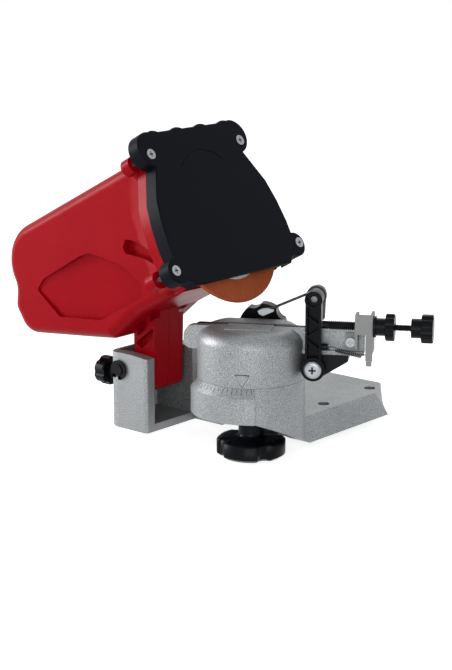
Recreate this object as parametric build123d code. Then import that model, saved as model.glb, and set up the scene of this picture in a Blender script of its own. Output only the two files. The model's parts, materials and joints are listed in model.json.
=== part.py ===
from build123d import *
import os
from math import asin, atan2, cos, degrees, pi, radians, sin, sqrt

# Bench-mounted electric chainsaw sharpener: a casting bolted to a bench, a swivelling table
# with a chain vice and a tooth stop, and a hinged motor head with a 108 mm grinding disc.
# Millimetres, +Z up, +X to the operator's right, +Y into the bench.
# Everything is modelled about the swivel axis and shifted once, at export, so that the
# origin is the centre of the four bench holes on the underside of the base plate.

os.makedirs("parts", exist_ok=True)

# ---------------------------------------------------------------- driving dimensions
RUNNING = 0.05          # radial clearance of a shaft in its bore
FACE_GAP = 0.3          # clearance between faces that move past each other
SEAT = 0.2              # gap of a seated face on another body

# bench plate of the base
PLATE_T = 21.0
PLATE_X_RIGHT = 31.4
PLATE_X_LEFT = -58.0
PLATE_Y_FRONT = 5.0
PLATE_Y_BACK = 144.5
PLATE_CORNER = 16.0
PLATE_DRAFT = 5.0       # degrees, side walls
PLATE_END_FLARE = 16.0  # how far the drafted end stands out at the foot
WEB_Y_FRONT = 31.0
WEB_T = 16.0
BENCH_HOLE_R = 4.5
BENCH_PITCH_X = 60.0
BENCH_PITCH_Y = 60.0
BENCH_CENTRE_X = -12.0
BENCH_CENTRE_Y = 96.0
RIB_T = 5.0

# swivel boss of the base
BOSS_R = 40.3
BOSS_TOP = 54.0
BOSS_FLOOR = 28.0
LUG_R = 45.5
LUG_HALF_ANGLE = 43.0
SCALE_DROP = 6.5
SLOPE_START_Y = -32.0
SLOPE_END_Y = 32.0
STUD_R = 5.0
BOSS_WALL = 6.5
HUB_R = 14.0

# head bracket of the base
BRACKET_X_BACK = -121.0
BRACKET_X_FRONT = -78.0
BRACKET_HALF_OUT = 31.0
BRACKET_WALL = 9.0
BRACKET_H = 60.0
BRACKET_FLOOR = 6.0
BRACKET_BACK_WALL = 4.0
PIVOT_X = -106.0
PIVOT_Z = 46.5
PIVOT_R = 5.0
PIVOT_HEAD_R = 8.5
PIVOT_BOSS_R = 9.5

# arm of the head, and the depth stop that it meets when the head is fully down
HEAD_DOWN = 8.0         # degrees from the raised head to the depth stop
ARM_REAR_X = -104.0
ARM_FOOT_X = -107.5
STOP_Z = 33.0
STOP_SCREW_R = 3.0
STOP_KNOB_R = 11.5
STOP_KNOB_T = 15.0
STOP_TRAVEL = 3.5
STOP_LIFT = (PIVOT_Z - STOP_Z) * sin(radians(HEAD_DOWN)) + 0.5

# swivel table
REST_SWING = 30.0       # table angle as it stands, degrees
TABLE_TOP = 92.5
CROWN_R = 27.0
CROWN_DROP = 10.5
TABLE_WALL = 5.0
TABLE_BACK_FLAT = 21.0
TABLE_SHELF_Z = 61.0
LEVER_X = BOSS_R + 8.3  # lever pivot, clear of the drum
RAIL_X_LEFT = -BOSS_R - 9.7
RAIL_X_RIGHT = LEVER_X + 36.4
RAIL_H = 18.0
RAIL_FRONT_Y = -7.0
SLOT_HALF = 0.8         # half of the gap for the drive links of the chain
JAW_T = 4.4
JAW_TRAVEL = 1.5
JAW_X_LEFT = RAIL_X_LEFT + 6.0
JAW_X_RIGHT = RAIL_X_RIGHT - 15.0
PAD_HALF = 17.0
PAD_DEPTH = 19.0
PAD_H = 0.8
JAW_ROOM_Y = SLOT_HALF + JAW_T + JAW_TRAVEL + 0.6
GUIDE_XS = (-27.0, 27.0)
GUIDE_Z = 81.0
GUIDE_R = 2.5
CLAMP_X = 3.0
CLAMP_Z = 84.0
CLAMP_R = 4.0
CLAMP_KNOB_R = 18.0
CLAMP_KNOB_T = 12.0
CLAMP_NECK = 6.0
CLAMP_KNOB_Y = TABLE_BACK_FLAT + JAW_TRAVEL + 1.5

# table lock
LOCK_KNOB_R = 26.0
LOCK_KNOB_T = 14.0
LOCK_NECK_R = 9.5
LOCK_KNOB_BOTTOM = -7.5
LOCK_WASHER_T = 2.0
LOCK_TRAVEL = 1.5

# tooth stop on the table
LEVER_PIVOT_Z = 65.2
LEVER_TOP_Z = 117.0
LEVER_FRONT_Y = -18.0
LEVER_T = 7.0
LEVER_HALF_W = 5.9
LEVER_FOOT_R = 8.8
LEVER_HEAD_R = 6.6
STOP_ARM_FRONT_Y = LEVER_FRONT_Y + LEVER_T + FACE_GAP
STOP_ARM_BACK_Y = STOP_ARM_FRONT_Y + 4.5
STOP_ARM_SCREW_XS = (LEVER_X - 1, LEVER_X + 18)
RAIL_MID_Y = (RAIL_FRONT_Y - SLOT_HALF) / 2
SLEEVE_R = 6.2
SLEEVE_BACK_Y = 9.0
ROD_Y = -12.5
ROD_Z = 98.0
ROD_R = 3.5
FINE_ROD_R = 2.5
BRACKET_FLANGE_X = RAIL_X_RIGHT - 6.0
BRACKET_FLANGE_GAP = 9.0
SHEET_T = 2.0
BRACKET_SCREW_R = 2.0
BRACKET_SCREW_Z = TABLE_TOP - 7.5
BRACKET_SCREW_X = BRACKET_FLANGE_X - 3.9
SPRING_Y = LEVER_FRONT_Y + 4.6
SPRING_PEG_R = 0.9
SPRING_PEG_X = BRACKET_FLANGE_X + BRACKET_FLANGE_GAP + 2 * SHEET_T - 2.0
SPRING_PEG_Z = TABLE_TOP - RAIL_H + 0.1
SPRING_COIL_R = 1.9
SPRING_WIRE_R = 0.55
SPRING_CORE_R = 1.45
PUSH_GAP = 0.3
FEED_TRAVEL = 2.5
FEED_PITCH = 1.0
PAWL_Y = 0.0
PAWL_TIP_X = 10.0
PAWL_TIP_Z = 103.0
PAWL_WIRE_R = 1.0

# grinding head; disc frame: s along the disc axis (0 at the disc), v up in the disc plane
DISC_X = -29.9
DISC_Z = 160.2
HEAD_TILT = 28.7        # lean of the disc plane when the head is up, degrees
DISC_R = 54.0
DISC_T = 3.2
DISC_BORE_R = 11.5
GUARD_FACE_S = 8.0
GUARD_WALL = 2.2
GUARD_BACK_S = -4.0
GUARD_BOTTOM_V = -38.0
GUARD_TOP_V = 82.0
TOP_SCREW_X = 50.0
TOP_SCREW_V = 64.0
LOW_SCREW_X = 70.6
LOW_SCREW_V = -24.0
GUARD_SCREW_R = 2.0
SHELL_HALF = 40.0
SHELL_WALL = 10.0
SHELL_RIM = 4.0
ARM_HALF = 16.5
MOTOR_R = 28.0
SHAFT_R = 4.0
DISC_V = -2.6           # the spindle sits this far below the middle of the guard
FRONT_S = -4.6          # front rim of the housing, just behind the guard
CHAMBER_S = -8.0        # back wall of the wheel chamber
EAR_S0 = -19.0
EAR_S1 = -10.5
DISC_S0 = -2.6          # back face of the disc
LABEL_R = 31.0
LABEL_T = 0.2
FLANGE_R = 16.0
FLANGE_T = 2.8
BEARING_R = 11.0
BEARING_T = 7.0
FRONT_BEARING_S = -22.0
REAR_BEARING_S = -100.0
CAVITY_S0 = -92.5
CAVITY_S1 = -22.5
STATOR_S0 = -80.0
STATOR_S1 = -36.0
ROTOR_R = 16.4
FAN_R = 25.0
COMMUTATOR_R = 9.0
SPLIT_GAP = 0.15        # half of the joint line between the housing halves
CASE_SCREW_R = 2.0
CASE_HEAD_R = 3.9
CASE_SEAT_Y = 34.0
ARM_SEAT_Y = 13.0
CASE_BOSS_R = 5.5
# side view places (s, v) of the housing screws, and which of them stand in bosses
CASE_SCREWS = ((-150.0, 54.0), (-172.0, 15.0), (-104.0, -30.0), (-60.0, 30.3), (-22.0, 48.0))
CASE_BOSSES = CASE_SCREWS[:2]
ARM_SCREW = (-102.9, -55.6)
SWITCH_S = -125.0
SWITCH_V = 50.0
SWITCH_L = 22.0
SWITCH_W = 15.0
SWITCH_PIVOT_Y = 36.0
ROCKER_L = 16.4
ROCKER_W = 10.0
ROCKER_TILT = 7.0
GLAND_S = -166.0
GLAND_V = 38.0
GLAND_R = 7.0
CORD_R = 3.5

# ---------------------------------------------------------------- frames and helpers
BENCH = Location((-BENCH_CENTRE_X, -BENCH_CENTRE_Y, 0))
TABLE = Location((0, 0, 0), (0, 0, REST_SWING))
AXIS_N = Vector(cos(radians(HEAD_TILT)), 0, sin(radians(HEAD_TILT)))
DISC_FRAME = Plane(origin=(DISC_X, 0, DISC_Z), x_dir=(0, 1, 0), z_dir=AXIS_N)
SIDE_FRAME = Plane(origin=(DISC_X, 0, DISC_Z), x_dir=AXIS_N, z_dir=(0, -1, 0))


def save(name, shape):
    """Write one sub-part, shifted to the origin at the bench holes."""
    solids = (BENCH * shape).solids()
    export_step(solids[0] if len(solids) == 1 else Compound(children=solids), f"parts/{name}.step")


def slab(x0, x1, y0, y1, z0, z1):
    """Return a block between two corners."""
    return Pos((x0 + x1) / 2, (y0 + y1) / 2, (z0 + z1) / 2) * Box(x1 - x0, y1 - y0, z1 - z0)


def rod_x(radius, x0, x1, y, z):
    """Return a round bar along X."""
    return Pos((x0 + x1) / 2, y, z) * Rot(0, 90, 0) * Cylinder(radius, x1 - x0)


def rod_y(radius, y0, y1, x, z):
    """Return a round bar along Y."""
    return Pos(x, (y0 + y1) / 2, z) * Rot(90, 0, 0) * Cylinder(radius, y1 - y0)


def rod_z(radius, z0, z1, x=0.0, y=0.0):
    """Return a round bar along Z."""
    return Pos(x, y, (z0 + z1) / 2) * Cylinder(radius, z1 - z0)


def prism(points, radii, depth, plane=Plane.XY, both=False):
    """Extrude a polygon whose corners are rounded by their own radii."""
    face = make_face(Polyline(*points, close=True))
    for point, radius in zip(points, radii):
        if radius > 0:
            corner = face.vertices().sort_by_distance((*point, 0))[0]
            face = fillet(corner, radius)
    return extrude(plane * face, amount=depth, both=both)


def on_disc(shape):
    """Place a shape from disc coordinates (Y, v, s) into the head as it stands."""
    return DISC_FRAME.location * shape


def cross_recess(width, depth, arm=0.9):
    """Return the cutter for a cross recess in a screw head that lies across Z."""
    return Box(width, arm, depth) + Box(arm, width, depth)


def on_side(s, v, shape):
    """Place a shape, with its +Z pointing to +Y, on a point of the housing's side view."""
    place = Plane(origin=DISC_FRAME.from_local_coords(Vector(0, v, s)), x_dir=AXIS_N, z_dir=(0, 1, 0))
    return place.location * shape


def bar_between(radius, start, end):
    """Return a round bar from one point to another."""
    return Plane(origin=start, z_dir=end - start).location * rod_z(radius, 0, (end - start).length)


def lobed_knob(radius, thickness, lobes, neck_r, neck_h, bore_r, bore_depth):
    """Return a lobed hand knob about +Z, neck upward, with its face at z = 0."""
    notch_r = radius * 0.42
    notch_at = radius * 1.28
    body = fillet(Cylinder(radius, thickness, align=(Align.CENTER, Align.CENTER, Align.MIN)).edges(), 1.2)
    for i in range(lobes):
        body -= Rot(0, 0, (i + 0.5) * 360 / lobes) * rod_z(notch_r, -1, thickness + 1, notch_at)
    body += rod_z(neck_r, thickness, thickness + neck_h)
    return body - rod_z(bore_r, thickness + neck_h - bore_depth, thickness + neck_h + 1)


# ---------------------------------------------------------------- base casting
def plate_outline():
    """Return the bench plate as a drafted block with a cut corner and a flared far end."""
    corner_y = PLATE_Y_BACK - PLATE_CORNER * 1.7
    top = Polyline(
        (PLATE_X_LEFT, PLATE_Y_FRONT), (PLATE_X_RIGHT - 1.9, PLATE_Y_FRONT),
        (PLATE_X_RIGHT - 1.9, corner_y), (PLATE_X_RIGHT - PLATE_CORNER, PLATE_Y_BACK),
        (PLATE_X_LEFT + PLATE_CORNER, PLATE_Y_BACK), (PLATE_X_LEFT, corner_y), close=True)
    foot = Polyline(
        (PLATE_X_LEFT - 1.9, PLATE_Y_FRONT), (PLATE_X_RIGHT, PLATE_Y_FRONT),
        (PLATE_X_RIGHT, corner_y + PLATE_END_FLARE), (PLATE_X_RIGHT - PLATE_CORNER, PLATE_Y_BACK + 4),
        (PLATE_X_LEFT + PLATE_CORNER, PLATE_Y_BACK + 4), (PLATE_X_LEFT - 1.9, corner_y + PLATE_END_FLARE),
        close=True)
    return loft([make_face(foot), Pos(0, 0, PLATE_T) * make_face(top)], ruled=True)


def base_casting():
    """Return the base: bench plate, swivel boss with its scale lug, and head bracket."""
    boss = rod_z(BOSS_R, 0, BOSS_TOP)
    lug_profile = Plane.XZ * make_face(Polyline(
        (BOSS_R - 6, 0), (LUG_R, 0), (LUG_R, BOSS_TOP - SCALE_DROP), (BOSS_R, BOSS_TOP),
        (BOSS_R - 6, BOSS_TOP), close=True))
    lug = revolve(lug_profile, Axis.Z, revolution_arc=2 * LUG_HALF_ANGLE)
    lug = Rot(0, 0, -90 - LUG_HALF_ANGLE) * lug
    front = boss + lug + plate_outline()
    # underside: level below the boss, then sloping down to the bench plane
    under = Plane.YZ * make_face(Polyline(
        (-60, -5), (-60, BOSS_FLOOR), (SLOPE_START_Y, BOSS_FLOOR), (SLOPE_END_Y, 0), (SLOPE_END_Y, -5),
        close=True))
    front -= extrude(under, amount=90, both=True)
    web = slab(BRACKET_X_BACK + 6, PLATE_X_LEFT + 8, WEB_Y_FRONT - 6, 118, 0, WEB_T)
    web_cut = prism([(BRACKET_X_BACK - 5, 62), (-78, 125), (BRACKET_X_BACK - 5, 125)], [0, 0, 0], 60)
    body = front + (web - Pos(0, 0, -10) * web_cut)
    body += head_bracket()
    return body - base_cuts()


def head_bracket():
    """Return the U-shaped bracket that carries the head pivot, open to +X and upward."""
    back_round = 14.0
    outline = [(BRACKET_X_BACK, -BRACKET_HALF_OUT), (BRACKET_X_FRONT, -BRACKET_HALF_OUT),
               (BRACKET_X_FRONT, BRACKET_HALF_OUT), (BRACKET_X_BACK, BRACKET_HALF_OUT)]
    shell = prism(outline, [back_round, 3, 3, back_round], BRACKET_H)
    crown = rod_y(150, -BRACKET_HALF_OUT - 1, BRACKET_HALF_OUT + 1, (BRACKET_X_BACK + BRACKET_X_FRONT) / 2,
                  BRACKET_H - 150)
    room_x = BRACKET_X_BACK + BRACKET_BACK_WALL
    half_in = BRACKET_HALF_OUT - BRACKET_WALL
    room = prism([(room_x, -half_in), (BRACKET_X_FRONT + 10, -half_in), (BRACKET_X_FRONT + 10, half_in),
                  (room_x, half_in)], [3, 0, 0, 3], BRACKET_H)
    return (shell & crown) - Pos(0, 0, BRACKET_FLOOR) * room


def base_cuts():
    """Return everything taken out of the base: holes, pockets and bores."""
    cuts = rod_z(STUD_R + 0.5, -5, BOSS_TOP + 1)
    # hollow boss seen from below, with a hub and four ribs left standing
    ring = rod_z(BOSS_R - BOSS_WALL, BOSS_FLOOR - 1, BOSS_TOP - 9) - rod_z(HUB_R, 0, BOSS_TOP)
    ring -= slab(-BOSS_R, BOSS_R, -RIB_T / 2, RIB_T / 2, 0, BOSS_TOP)
    ring -= slab(-RIB_T / 2, RIB_T / 2, -BOSS_R, BOSS_R, 0, BOSS_TOP)
    cuts += ring + rod_z(BOSS_R - BOSS_WALL, -5, BOSS_FLOOR)
    # pockets under the bench plate, three bays on each side of a middle rib
    bay_y0, bay_y1 = SLOPE_END_Y + 12, PLATE_Y_BACK - 12
    bay = (bay_y1 - bay_y0 - 2 * RIB_T) / 3
    x_inner = (BENCH_CENTRE_X - RIB_T, BENCH_CENTRE_X + RIB_T)
    for i in range(3):
        y0 = bay_y0 + i * (bay + RIB_T)
        for x0, x1 in ((PLATE_X_LEFT + 6, x_inner[0]), (x_inner[1], PLATE_X_RIGHT - 7)):
            cuts += slab(x0, x1, y0, y0 + bay, -1, PLATE_T - 7)
    for sx in (-0.5, 0.5):
        for sy in (-0.5, 0.5):
            x, y = BENCH_CENTRE_X + sx * BENCH_PITCH_X, BENCH_CENTRE_Y + sy * BENCH_PITCH_Y
            cuts -= rod_z(BENCH_HOLE_R + 5, -1, PLATE_T, x, y)
            cuts += rod_z(BENCH_HOLE_R, -1, PLATE_T + 1, x, y)
    cuts += rod_y(PIVOT_R, -BRACKET_HALF_OUT - 1, BRACKET_HALF_OUT + 1, PIVOT_X, PIVOT_Z)
    cuts += rod_x(STOP_SCREW_R + RUNNING, BRACKET_X_BACK - 1, BRACKET_X_BACK + 12, 0, STOP_Z)
    return cuts


# ---------------------------------------------------------------- head pivot and depth stop
def pivot_pin():
    """Return the pivot pin with its slotted head on the operator side."""
    pin = rod_y(PIVOT_R, -BRACKET_HALF_OUT, BRACKET_HALF_OUT + 5, PIVOT_X, PIVOT_Z)
    head = rod_y(PIVOT_HEAD_R, -BRACKET_HALF_OUT - 3, -BRACKET_HALF_OUT, PIVOT_X, PIVOT_Z)
    key = Pos(PIVOT_X, -BRACKET_HALF_OUT - 3, PIVOT_Z) * Rot(0, 35, 0) * slab(
        -3, PIVOT_HEAD_R + 2, -1.5, 1.8, -2.6, 2.6)
    groove = rod_y(PIVOT_R + 1, BRACKET_HALF_OUT + 2.4, BRACKET_HALF_OUT + 3.6, PIVOT_X, PIVOT_Z)
    groove -= rod_y(PIVOT_R - 0.8, BRACKET_HALF_OUT + 2, BRACKET_HALF_OUT + 4, PIVOT_X, PIVOT_Z)
    return pin + head - key - groove


def pivot_clip():
    """Return the spring clip that holds the pin at the back cheek."""
    y0 = BRACKET_HALF_OUT + 2.5
    ring = rod_y(PIVOT_R + 3.2, y0, y0 + 1, PIVOT_X, PIVOT_Z)
    ring -= rod_y(PIVOT_R - 0.7, y0 - 1, y0 + 2, PIVOT_X, PIVOT_Z)
    return ring - slab(PIVOT_X - 2.5, PIVOT_X + 2.5, y0 - 1, y0 + 2, PIVOT_Z, PIVOT_Z + 12)


def ring_y(outer, inner, y0, y1):
    """Return a washer-like ring about the head pivot."""
    return rod_y(outer, y0, y1, PIVOT_X, PIVOT_Z) - rod_y(inner, y0 - 1, y1 + 1, PIVOT_X, PIVOT_Z)


def coil_spring_y(mean_r, wire_r, y0, y1, coils, x, z):
    """Return a close stack of rings along Y that stands for a coil spring, as one solid."""
    pitch = (y1 - y0 - 2 * wire_r) / (coils - 1)
    body = None
    for i in range(coils):
        ring = Pos(x, y0 + wire_r + i * pitch, z) * Rot(90, 0, 0) * Torus(mean_r, wire_r)
        body = ring if body is None else body + ring
    bar = rod_y(wire_r * 0.8, y0 + wire_r, y1 - wire_r, x, z + mean_r)
    return body + bar


def head_spring():
    """Return the torsion spring that lifts the head, round the pivot bush."""
    half_in = BRACKET_HALF_OUT - BRACKET_WALL
    return coil_spring_y(PIVOT_R + 3.0, 0.8, ARM_HALF + 0.4, half_in - 0.4, 4, PIVOT_X, PIVOT_Z)


def depth_stop_parts():
    """Save the depth stop: pad, screw, knob and the nut in the bracket wall."""
    half_pitch = STOP_SCREW_R * 1.75
    tip_x = ARM_FOOT_X - PUSH_GAP - STOP_LIFT
    save("depth_stop_pad", rod_x(STOP_SCREW_R + 1.6, tip_x - 3, tip_x, 0, STOP_Z)
         - rod_x(STOP_SCREW_R - 0.8 + RUNNING, tip_x - 4, tip_x - 1.2, 0, STOP_Z))
    screw = rod_x(STOP_SCREW_R - 0.8, tip_x - 3.5, tip_x - 1.4, 0, STOP_Z)
    screw += rod_x(STOP_SCREW_R, BRACKET_X_BACK - 26, tip_x - 3 - RUNNING, 0, STOP_Z)
    save("depth_stop_screw", screw)
    nut = Pos(BRACKET_X_BACK - SEAT, 0, STOP_Z) * Rot(0, -90, 0) * extrude(
        RegularPolygon(half_pitch, 6), 4)
    save("depth_stop_nut", nut - rod_x(STOP_SCREW_R + RUNNING, BRACKET_X_BACK - 10, BRACKET_X_BACK + 1,
                                       0, STOP_Z))
    knob = lobed_knob(STOP_KNOB_R, STOP_KNOB_T - 5, 6, 6.5, 5, STOP_SCREW_R, 12)
    save("depth_stop_knob", Pos(BRACKET_X_BACK - 14 - STOP_KNOB_T - STOP_TRAVEL, 0, STOP_Z) * Rot(0, 90, 0) * knob)


# ---------------------------------------------------------------- swivel table
def rotary_table():
    """Return the table casting: crowned drum, fixed jaw rail and the pocket of the moving jaw."""
    bottom = BOSS_TOP + SEAT
    profile = Plane.XZ * make_face([
        Line((0, bottom), (BOSS_R, bottom)), Line((BOSS_R, bottom), (BOSS_R, TABLE_TOP - CROWN_DROP)),
        ThreePointArc((BOSS_R, TABLE_TOP - CROWN_DROP),
                      (CROWN_R + (BOSS_R - CROWN_R) * sin(pi / 4), TABLE_TOP - CROWN_DROP * (1 - sin(pi / 4))),
                      (CROWN_R, TABLE_TOP)),
        Line((CROWN_R, TABLE_TOP), (0, TABLE_TOP)), Line((0, TABLE_TOP), (0, bottom))])
    drum = revolve(profile, Axis.Z)
    hollow = rod_z(BOSS_R - TABLE_WALL, bottom - 1, TABLE_TOP - RAIL_H - 6) - rod_z(13, 0, TABLE_TOP)
    drum -= hollow
    drum -= slab(-BOSS_R - 1, BOSS_R + 1, TABLE_BACK_FLAT, BOSS_R + 2, TABLE_SHELF_Z, TABLE_TOP + 1)
    rail_floor = TABLE_TOP - RAIL_H
    nose = prism([(RAIL_X_LEFT, rail_floor), (RAIL_X_RIGHT, rail_floor), (RAIL_X_RIGHT, TABLE_TOP),
                  (RAIL_X_LEFT, TABLE_TOP)], [6, 2, 2, 8], -SLOT_HALF - RAIL_FRONT_Y,
                 Plane.XZ.offset(SLOT_HALF))
    ledge = slab(0, RAIL_X_RIGHT, RAIL_FRONT_Y - 1.6, RAIL_FRONT_Y, rail_floor, rail_floor + 3.2)
    back_floor = slab(RAIL_X_LEFT + 4, JAW_X_RIGHT, -SLOT_HALF - 1, JAW_ROOM_Y, rail_floor, rail_floor + 3)
    pad = slab(-PAD_HALF, PAD_HALF, -PAD_DEPTH, -SLOT_HALF, TABLE_TOP - 3, TABLE_TOP + PAD_H)
    body = drum + pad
    body -= slab(-60, 60, -SLOT_HALF, JAW_ROOM_Y, rail_floor + 3, TABLE_TOP + 2)
    body = body + nose + ledge + back_floor
    body += pointer()
    body -= rod_z(STUD_R, bottom - 1, bottom + 16)
    body -= rod_y(CLAMP_R + RUNNING, 0, 60, CLAMP_X, CLAMP_Z)
    for x in GUIDE_XS:
        body -= rod_y(GUIDE_R, RAIL_FRONT_Y + 2, JAW_ROOM_Y + 6, x, GUIDE_Z)
    body -= rod_y(BRACKET_SCREW_R, RAIL_FRONT_Y - 4, -SLOT_HALF - 1.2, BRACKET_SCREW_X, BRACKET_SCREW_Z)
    for x in STOP_ARM_SCREW_XS:
        body -= rod_z(1.5, rail_floor - 1, rail_floor + 5.2, x, RAIL_MID_Y)
    return body


def pointer():
    """Return the raised triangular pointer above the joint line."""
    tip_z = BOSS_TOP + 1.0
    triangle = prism([(-5.2, tip_z + 9), (0, tip_z), (5.2, tip_z + 9)], [1, 0.6, 1], 6,
                     Plane.XZ.offset(BOSS_R - 5))
    return triangle & rod_z(BOSS_R + 0.7, 0, TABLE_TOP)


def moving_jaw():
    """Return the moving jaw plate with its guide holes and a rounded nose."""
    floor = TABLE_TOP - RAIL_H + 3 + FACE_GAP
    y0 = SLOT_HALF
    plate = prism([(JAW_X_LEFT, floor), (JAW_X_RIGHT, floor), (JAW_X_RIGHT, TABLE_TOP), (JAW_X_LEFT, TABLE_TOP)],
                  [3, 3, 3, 5], -JAW_T, Plane.XZ.offset(-y0))
    for x in GUIDE_XS:
        plate -= rod_y(GUIDE_R + RUNNING, 0, 20, x, GUIDE_Z)
    socket = rod_y(CLAMP_R + 1.4, y0 + JAW_T - 1.6, y0 + JAW_T + 1, CLAMP_X, CLAMP_Z)
    return plate - socket


def clamp_screw():
    """Return the clamp screw with its swivel foot in the moving jaw."""
    y0 = SLOT_HALF + JAW_T - 1.6
    screw = rod_y(CLAMP_R, y0 + 1.4, CLAMP_KNOB_Y + CLAMP_KNOB_T, CLAMP_X, CLAMP_Z)
    return screw + rod_y(CLAMP_R + 1.35, y0 + 0.02, y0 + 1.5, CLAMP_X, CLAMP_Z)


def clamp_knob():
    """Return the lobed clamp knob behind the table."""
    knob = lobed_knob(CLAMP_KNOB_R, CLAMP_KNOB_T, 5, 8, CLAMP_NECK, CLAMP_R, CLAMP_KNOB_T)
    face_y = CLAMP_KNOB_Y + CLAMP_NECK + CLAMP_KNOB_T
    return Pos(CLAMP_X, face_y, CLAMP_Z) * Rot(90, 0, 0) * knob


# ---------------------------------------------------------------- table lock
def lock_parts():
    """Save the stud, its washer and the lock knob below the boss."""
    washer_top = BOSS_FLOOR + 0.0
    save("table_stud", TABLE * (rod_z(STUD_R, LOCK_KNOB_BOTTOM + 4, BOSS_TOP + SEAT + 15)))
    save("lock_washer", rod_z(LOCK_NECK_R + 2.5, washer_top - LOCK_WASHER_T - SEAT, washer_top - SEAT)
         - rod_z(STUD_R + RUNNING, 0, BOSS_TOP))
    neck_h = washer_top - LOCK_WASHER_T - 2 * SEAT - (LOCK_KNOB_BOTTOM + LOCK_KNOB_T)
    knob = lobed_knob(LOCK_KNOB_R, LOCK_KNOB_T, 7, LOCK_NECK_R, neck_h, STUD_R + RUNNING, LOCK_KNOB_T + neck_h - 2)
    save("lock_knob", Pos(0, 0, LOCK_KNOB_BOTTOM) * knob)


# ---------------------------------------------------------------- tooth stop
def stop_lever():
    """Return the ribbed truss lever: rims, web, zig-zag ribs and two bosses."""
    y0 = LEVER_FRONT_Y
    back = y0 + LEVER_T
    x, z0, z1 = LEVER_X, LEVER_PIVOT_Z, LEVER_TOP_Z
    side = LEVER_HALF_W
    rim_t = 1.6
    outer = slab(x - side, x + side, y0, back, z0, z1)
    inner = slab(x - side + rim_t, x + side - rim_t, y0 - 1, back - 2.2, z0, z1)
    frame = outer - inner
    nodes_z = [z0 + LEVER_FOOT_R + i * (z1 - LEVER_HEAD_R - z0 - LEVER_FOOT_R) / 4 for i in range(5)]
    for i in range(3):
        sign = 1 if i % 2 == 0 else -1
        xa, xb = x - sign * (side - 1), x + sign * (side - 1)
        za, zb = nodes_z[i + 1] + 3.5, nodes_z[i + 1] - 3.5
        length = sqrt((xb - xa) ** 2 + (zb - za) ** 2)
        angle = degrees(asin((za - zb) / length)) * sign
        frame += Pos(x, (y0 + back) / 2 + 0.3, (za + zb) / 2) * Rot(0, angle, 0) * Box(length, LEVER_T - 0.6, 1.1)
    foot = rod_y(LEVER_FOOT_R, y0 - 0.6, back, x, z0)
    head = rod_y(LEVER_HEAD_R, y0, back, x, z1) - rod_y(LEVER_HEAD_R - 1.6, y0 - 1, y0 + 2.5, x, z1)
    post = rod_x(2.6, x + side - 1, x + side + 4.5, y0 + LEVER_T / 2, LEVER_PIVOT_Z + 16.5)
    post -= rod_y(0.9, y0 - 1, back + 1, x + side + 2.6, LEVER_PIVOT_Z + 16.5)
    push_pad = slab(x + side - 2, x + side, y0, back, ROD_Z - 5, ROD_Z + 5)
    body = frame + foot + head + post + push_pad
    body -= rod_y(3 + RUNNING, y0 - 2, back + 1, x, z0)
    return body - rod_y(2.5, y0 - 1, back + 1, x, z1)


def lever_screw():
    """Return the pan-head pivot screw of the lever with a cross recess."""
    y0 = LEVER_FRONT_Y - 0.6
    z = LEVER_PIVOT_Z
    head = rod_y(6.7, y0 - 3.4, y0 - FACE_GAP, LEVER_X, z)
    head = fillet(head.edges().group_by(Axis.Y)[0], 2.6)
    cross = Pos(LEVER_X, y0 - 3, z) * (Box(5.4, 3, 1.2) + Box(1.2, 3, 5.4))
    return head - cross + rod_y(3, y0 - FACE_GAP - 0.1, STOP_ARM_BACK_Y + 4, LEVER_X, z)


def stop_arm():
    """Return the black triangular arm under the rail that carries the lever pivot."""
    top = TABLE_TOP - RAIL_H - SEAT
    x0, x1 = LEVER_X - 13, LEVER_X + 25
    plate = prism([(x0, top), (x0, top - 5), (LEVER_X - 7, LEVER_PIVOT_Z - 6), (LEVER_X + 5, LEVER_PIVOT_Z - 7.5),
                   (x1, top - 4), (x1, top)], [0.5, 1, 4, 4, 1, 0.5], -(STOP_ARM_BACK_Y - STOP_ARM_FRONT_Y),
                  Plane.XZ.offset(-STOP_ARM_FRONT_Y))
    flange = slab(x0, x1, STOP_ARM_FRONT_Y, -SLOT_HALF, top - 3, top)
    arm = plate + flange - rod_z(BOSS_R + 0.02, 0, TABLE_TOP)
    arm -= rod_y(3, STOP_ARM_FRONT_Y - 1, STOP_ARM_BACK_Y + 1, LEVER_X, LEVER_PIVOT_Z)
    for x in STOP_ARM_SCREW_XS:
        arm -= rod_z(1.5, top - 4, top + 1, x, RAIL_MID_Y)
    return arm


def stop_arm_screws():
    """Return the two screws from below into the rail."""
    top = TABLE_TOP - RAIL_H - SEAT
    screws = None
    for x in STOP_ARM_SCREW_XS:
        screw = rod_z(2.2, top - 4.6, top - 3, x, RAIL_MID_Y) + rod_z(1.5, top - 3.1, top + 5, x, RAIL_MID_Y)
        screws = screw if screws is None else screws + screw
    return screws


def guide_pins():
    """Return the two pins that carry the moving jaw."""
    pins = None
    for x in GUIDE_XS:
        pin = rod_y(GUIDE_R, RAIL_FRONT_Y + 2, JAW_ROOM_Y + 6, x, GUIDE_Z)
        pins = pin if pins is None else pins + pin
    return pins


def bracket_screw():
    """Return the screw that holds the feed bracket to the front of the rail."""
    x, z, y = BRACKET_SCREW_X, BRACKET_SCREW_Z, RAIL_FRONT_Y - SHEET_T
    head = rod_y(3.6, y - 2.2, y, x, z) - Pos(x, y - 2, z) * Rot(90, 0, 0) * cross_recess(4, 2)
    return head + rod_y(BRACKET_SCREW_R, y - 0.5, -SLOT_HALF - 1.2, x, z)


def pivot_nut():
    """Return the nut behind the stop arm."""
    y0 = STOP_ARM_BACK_Y
    nut = Pos(LEVER_X, y0 + 3.2, LEVER_PIVOT_Z) * Rot(90, 0, 0) * extrude(RegularPolygon(5, 6), 3.2)
    return nut - rod_y(3, y0 - 1, y0 + 5, LEVER_X, LEVER_PIVOT_Z)


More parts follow.
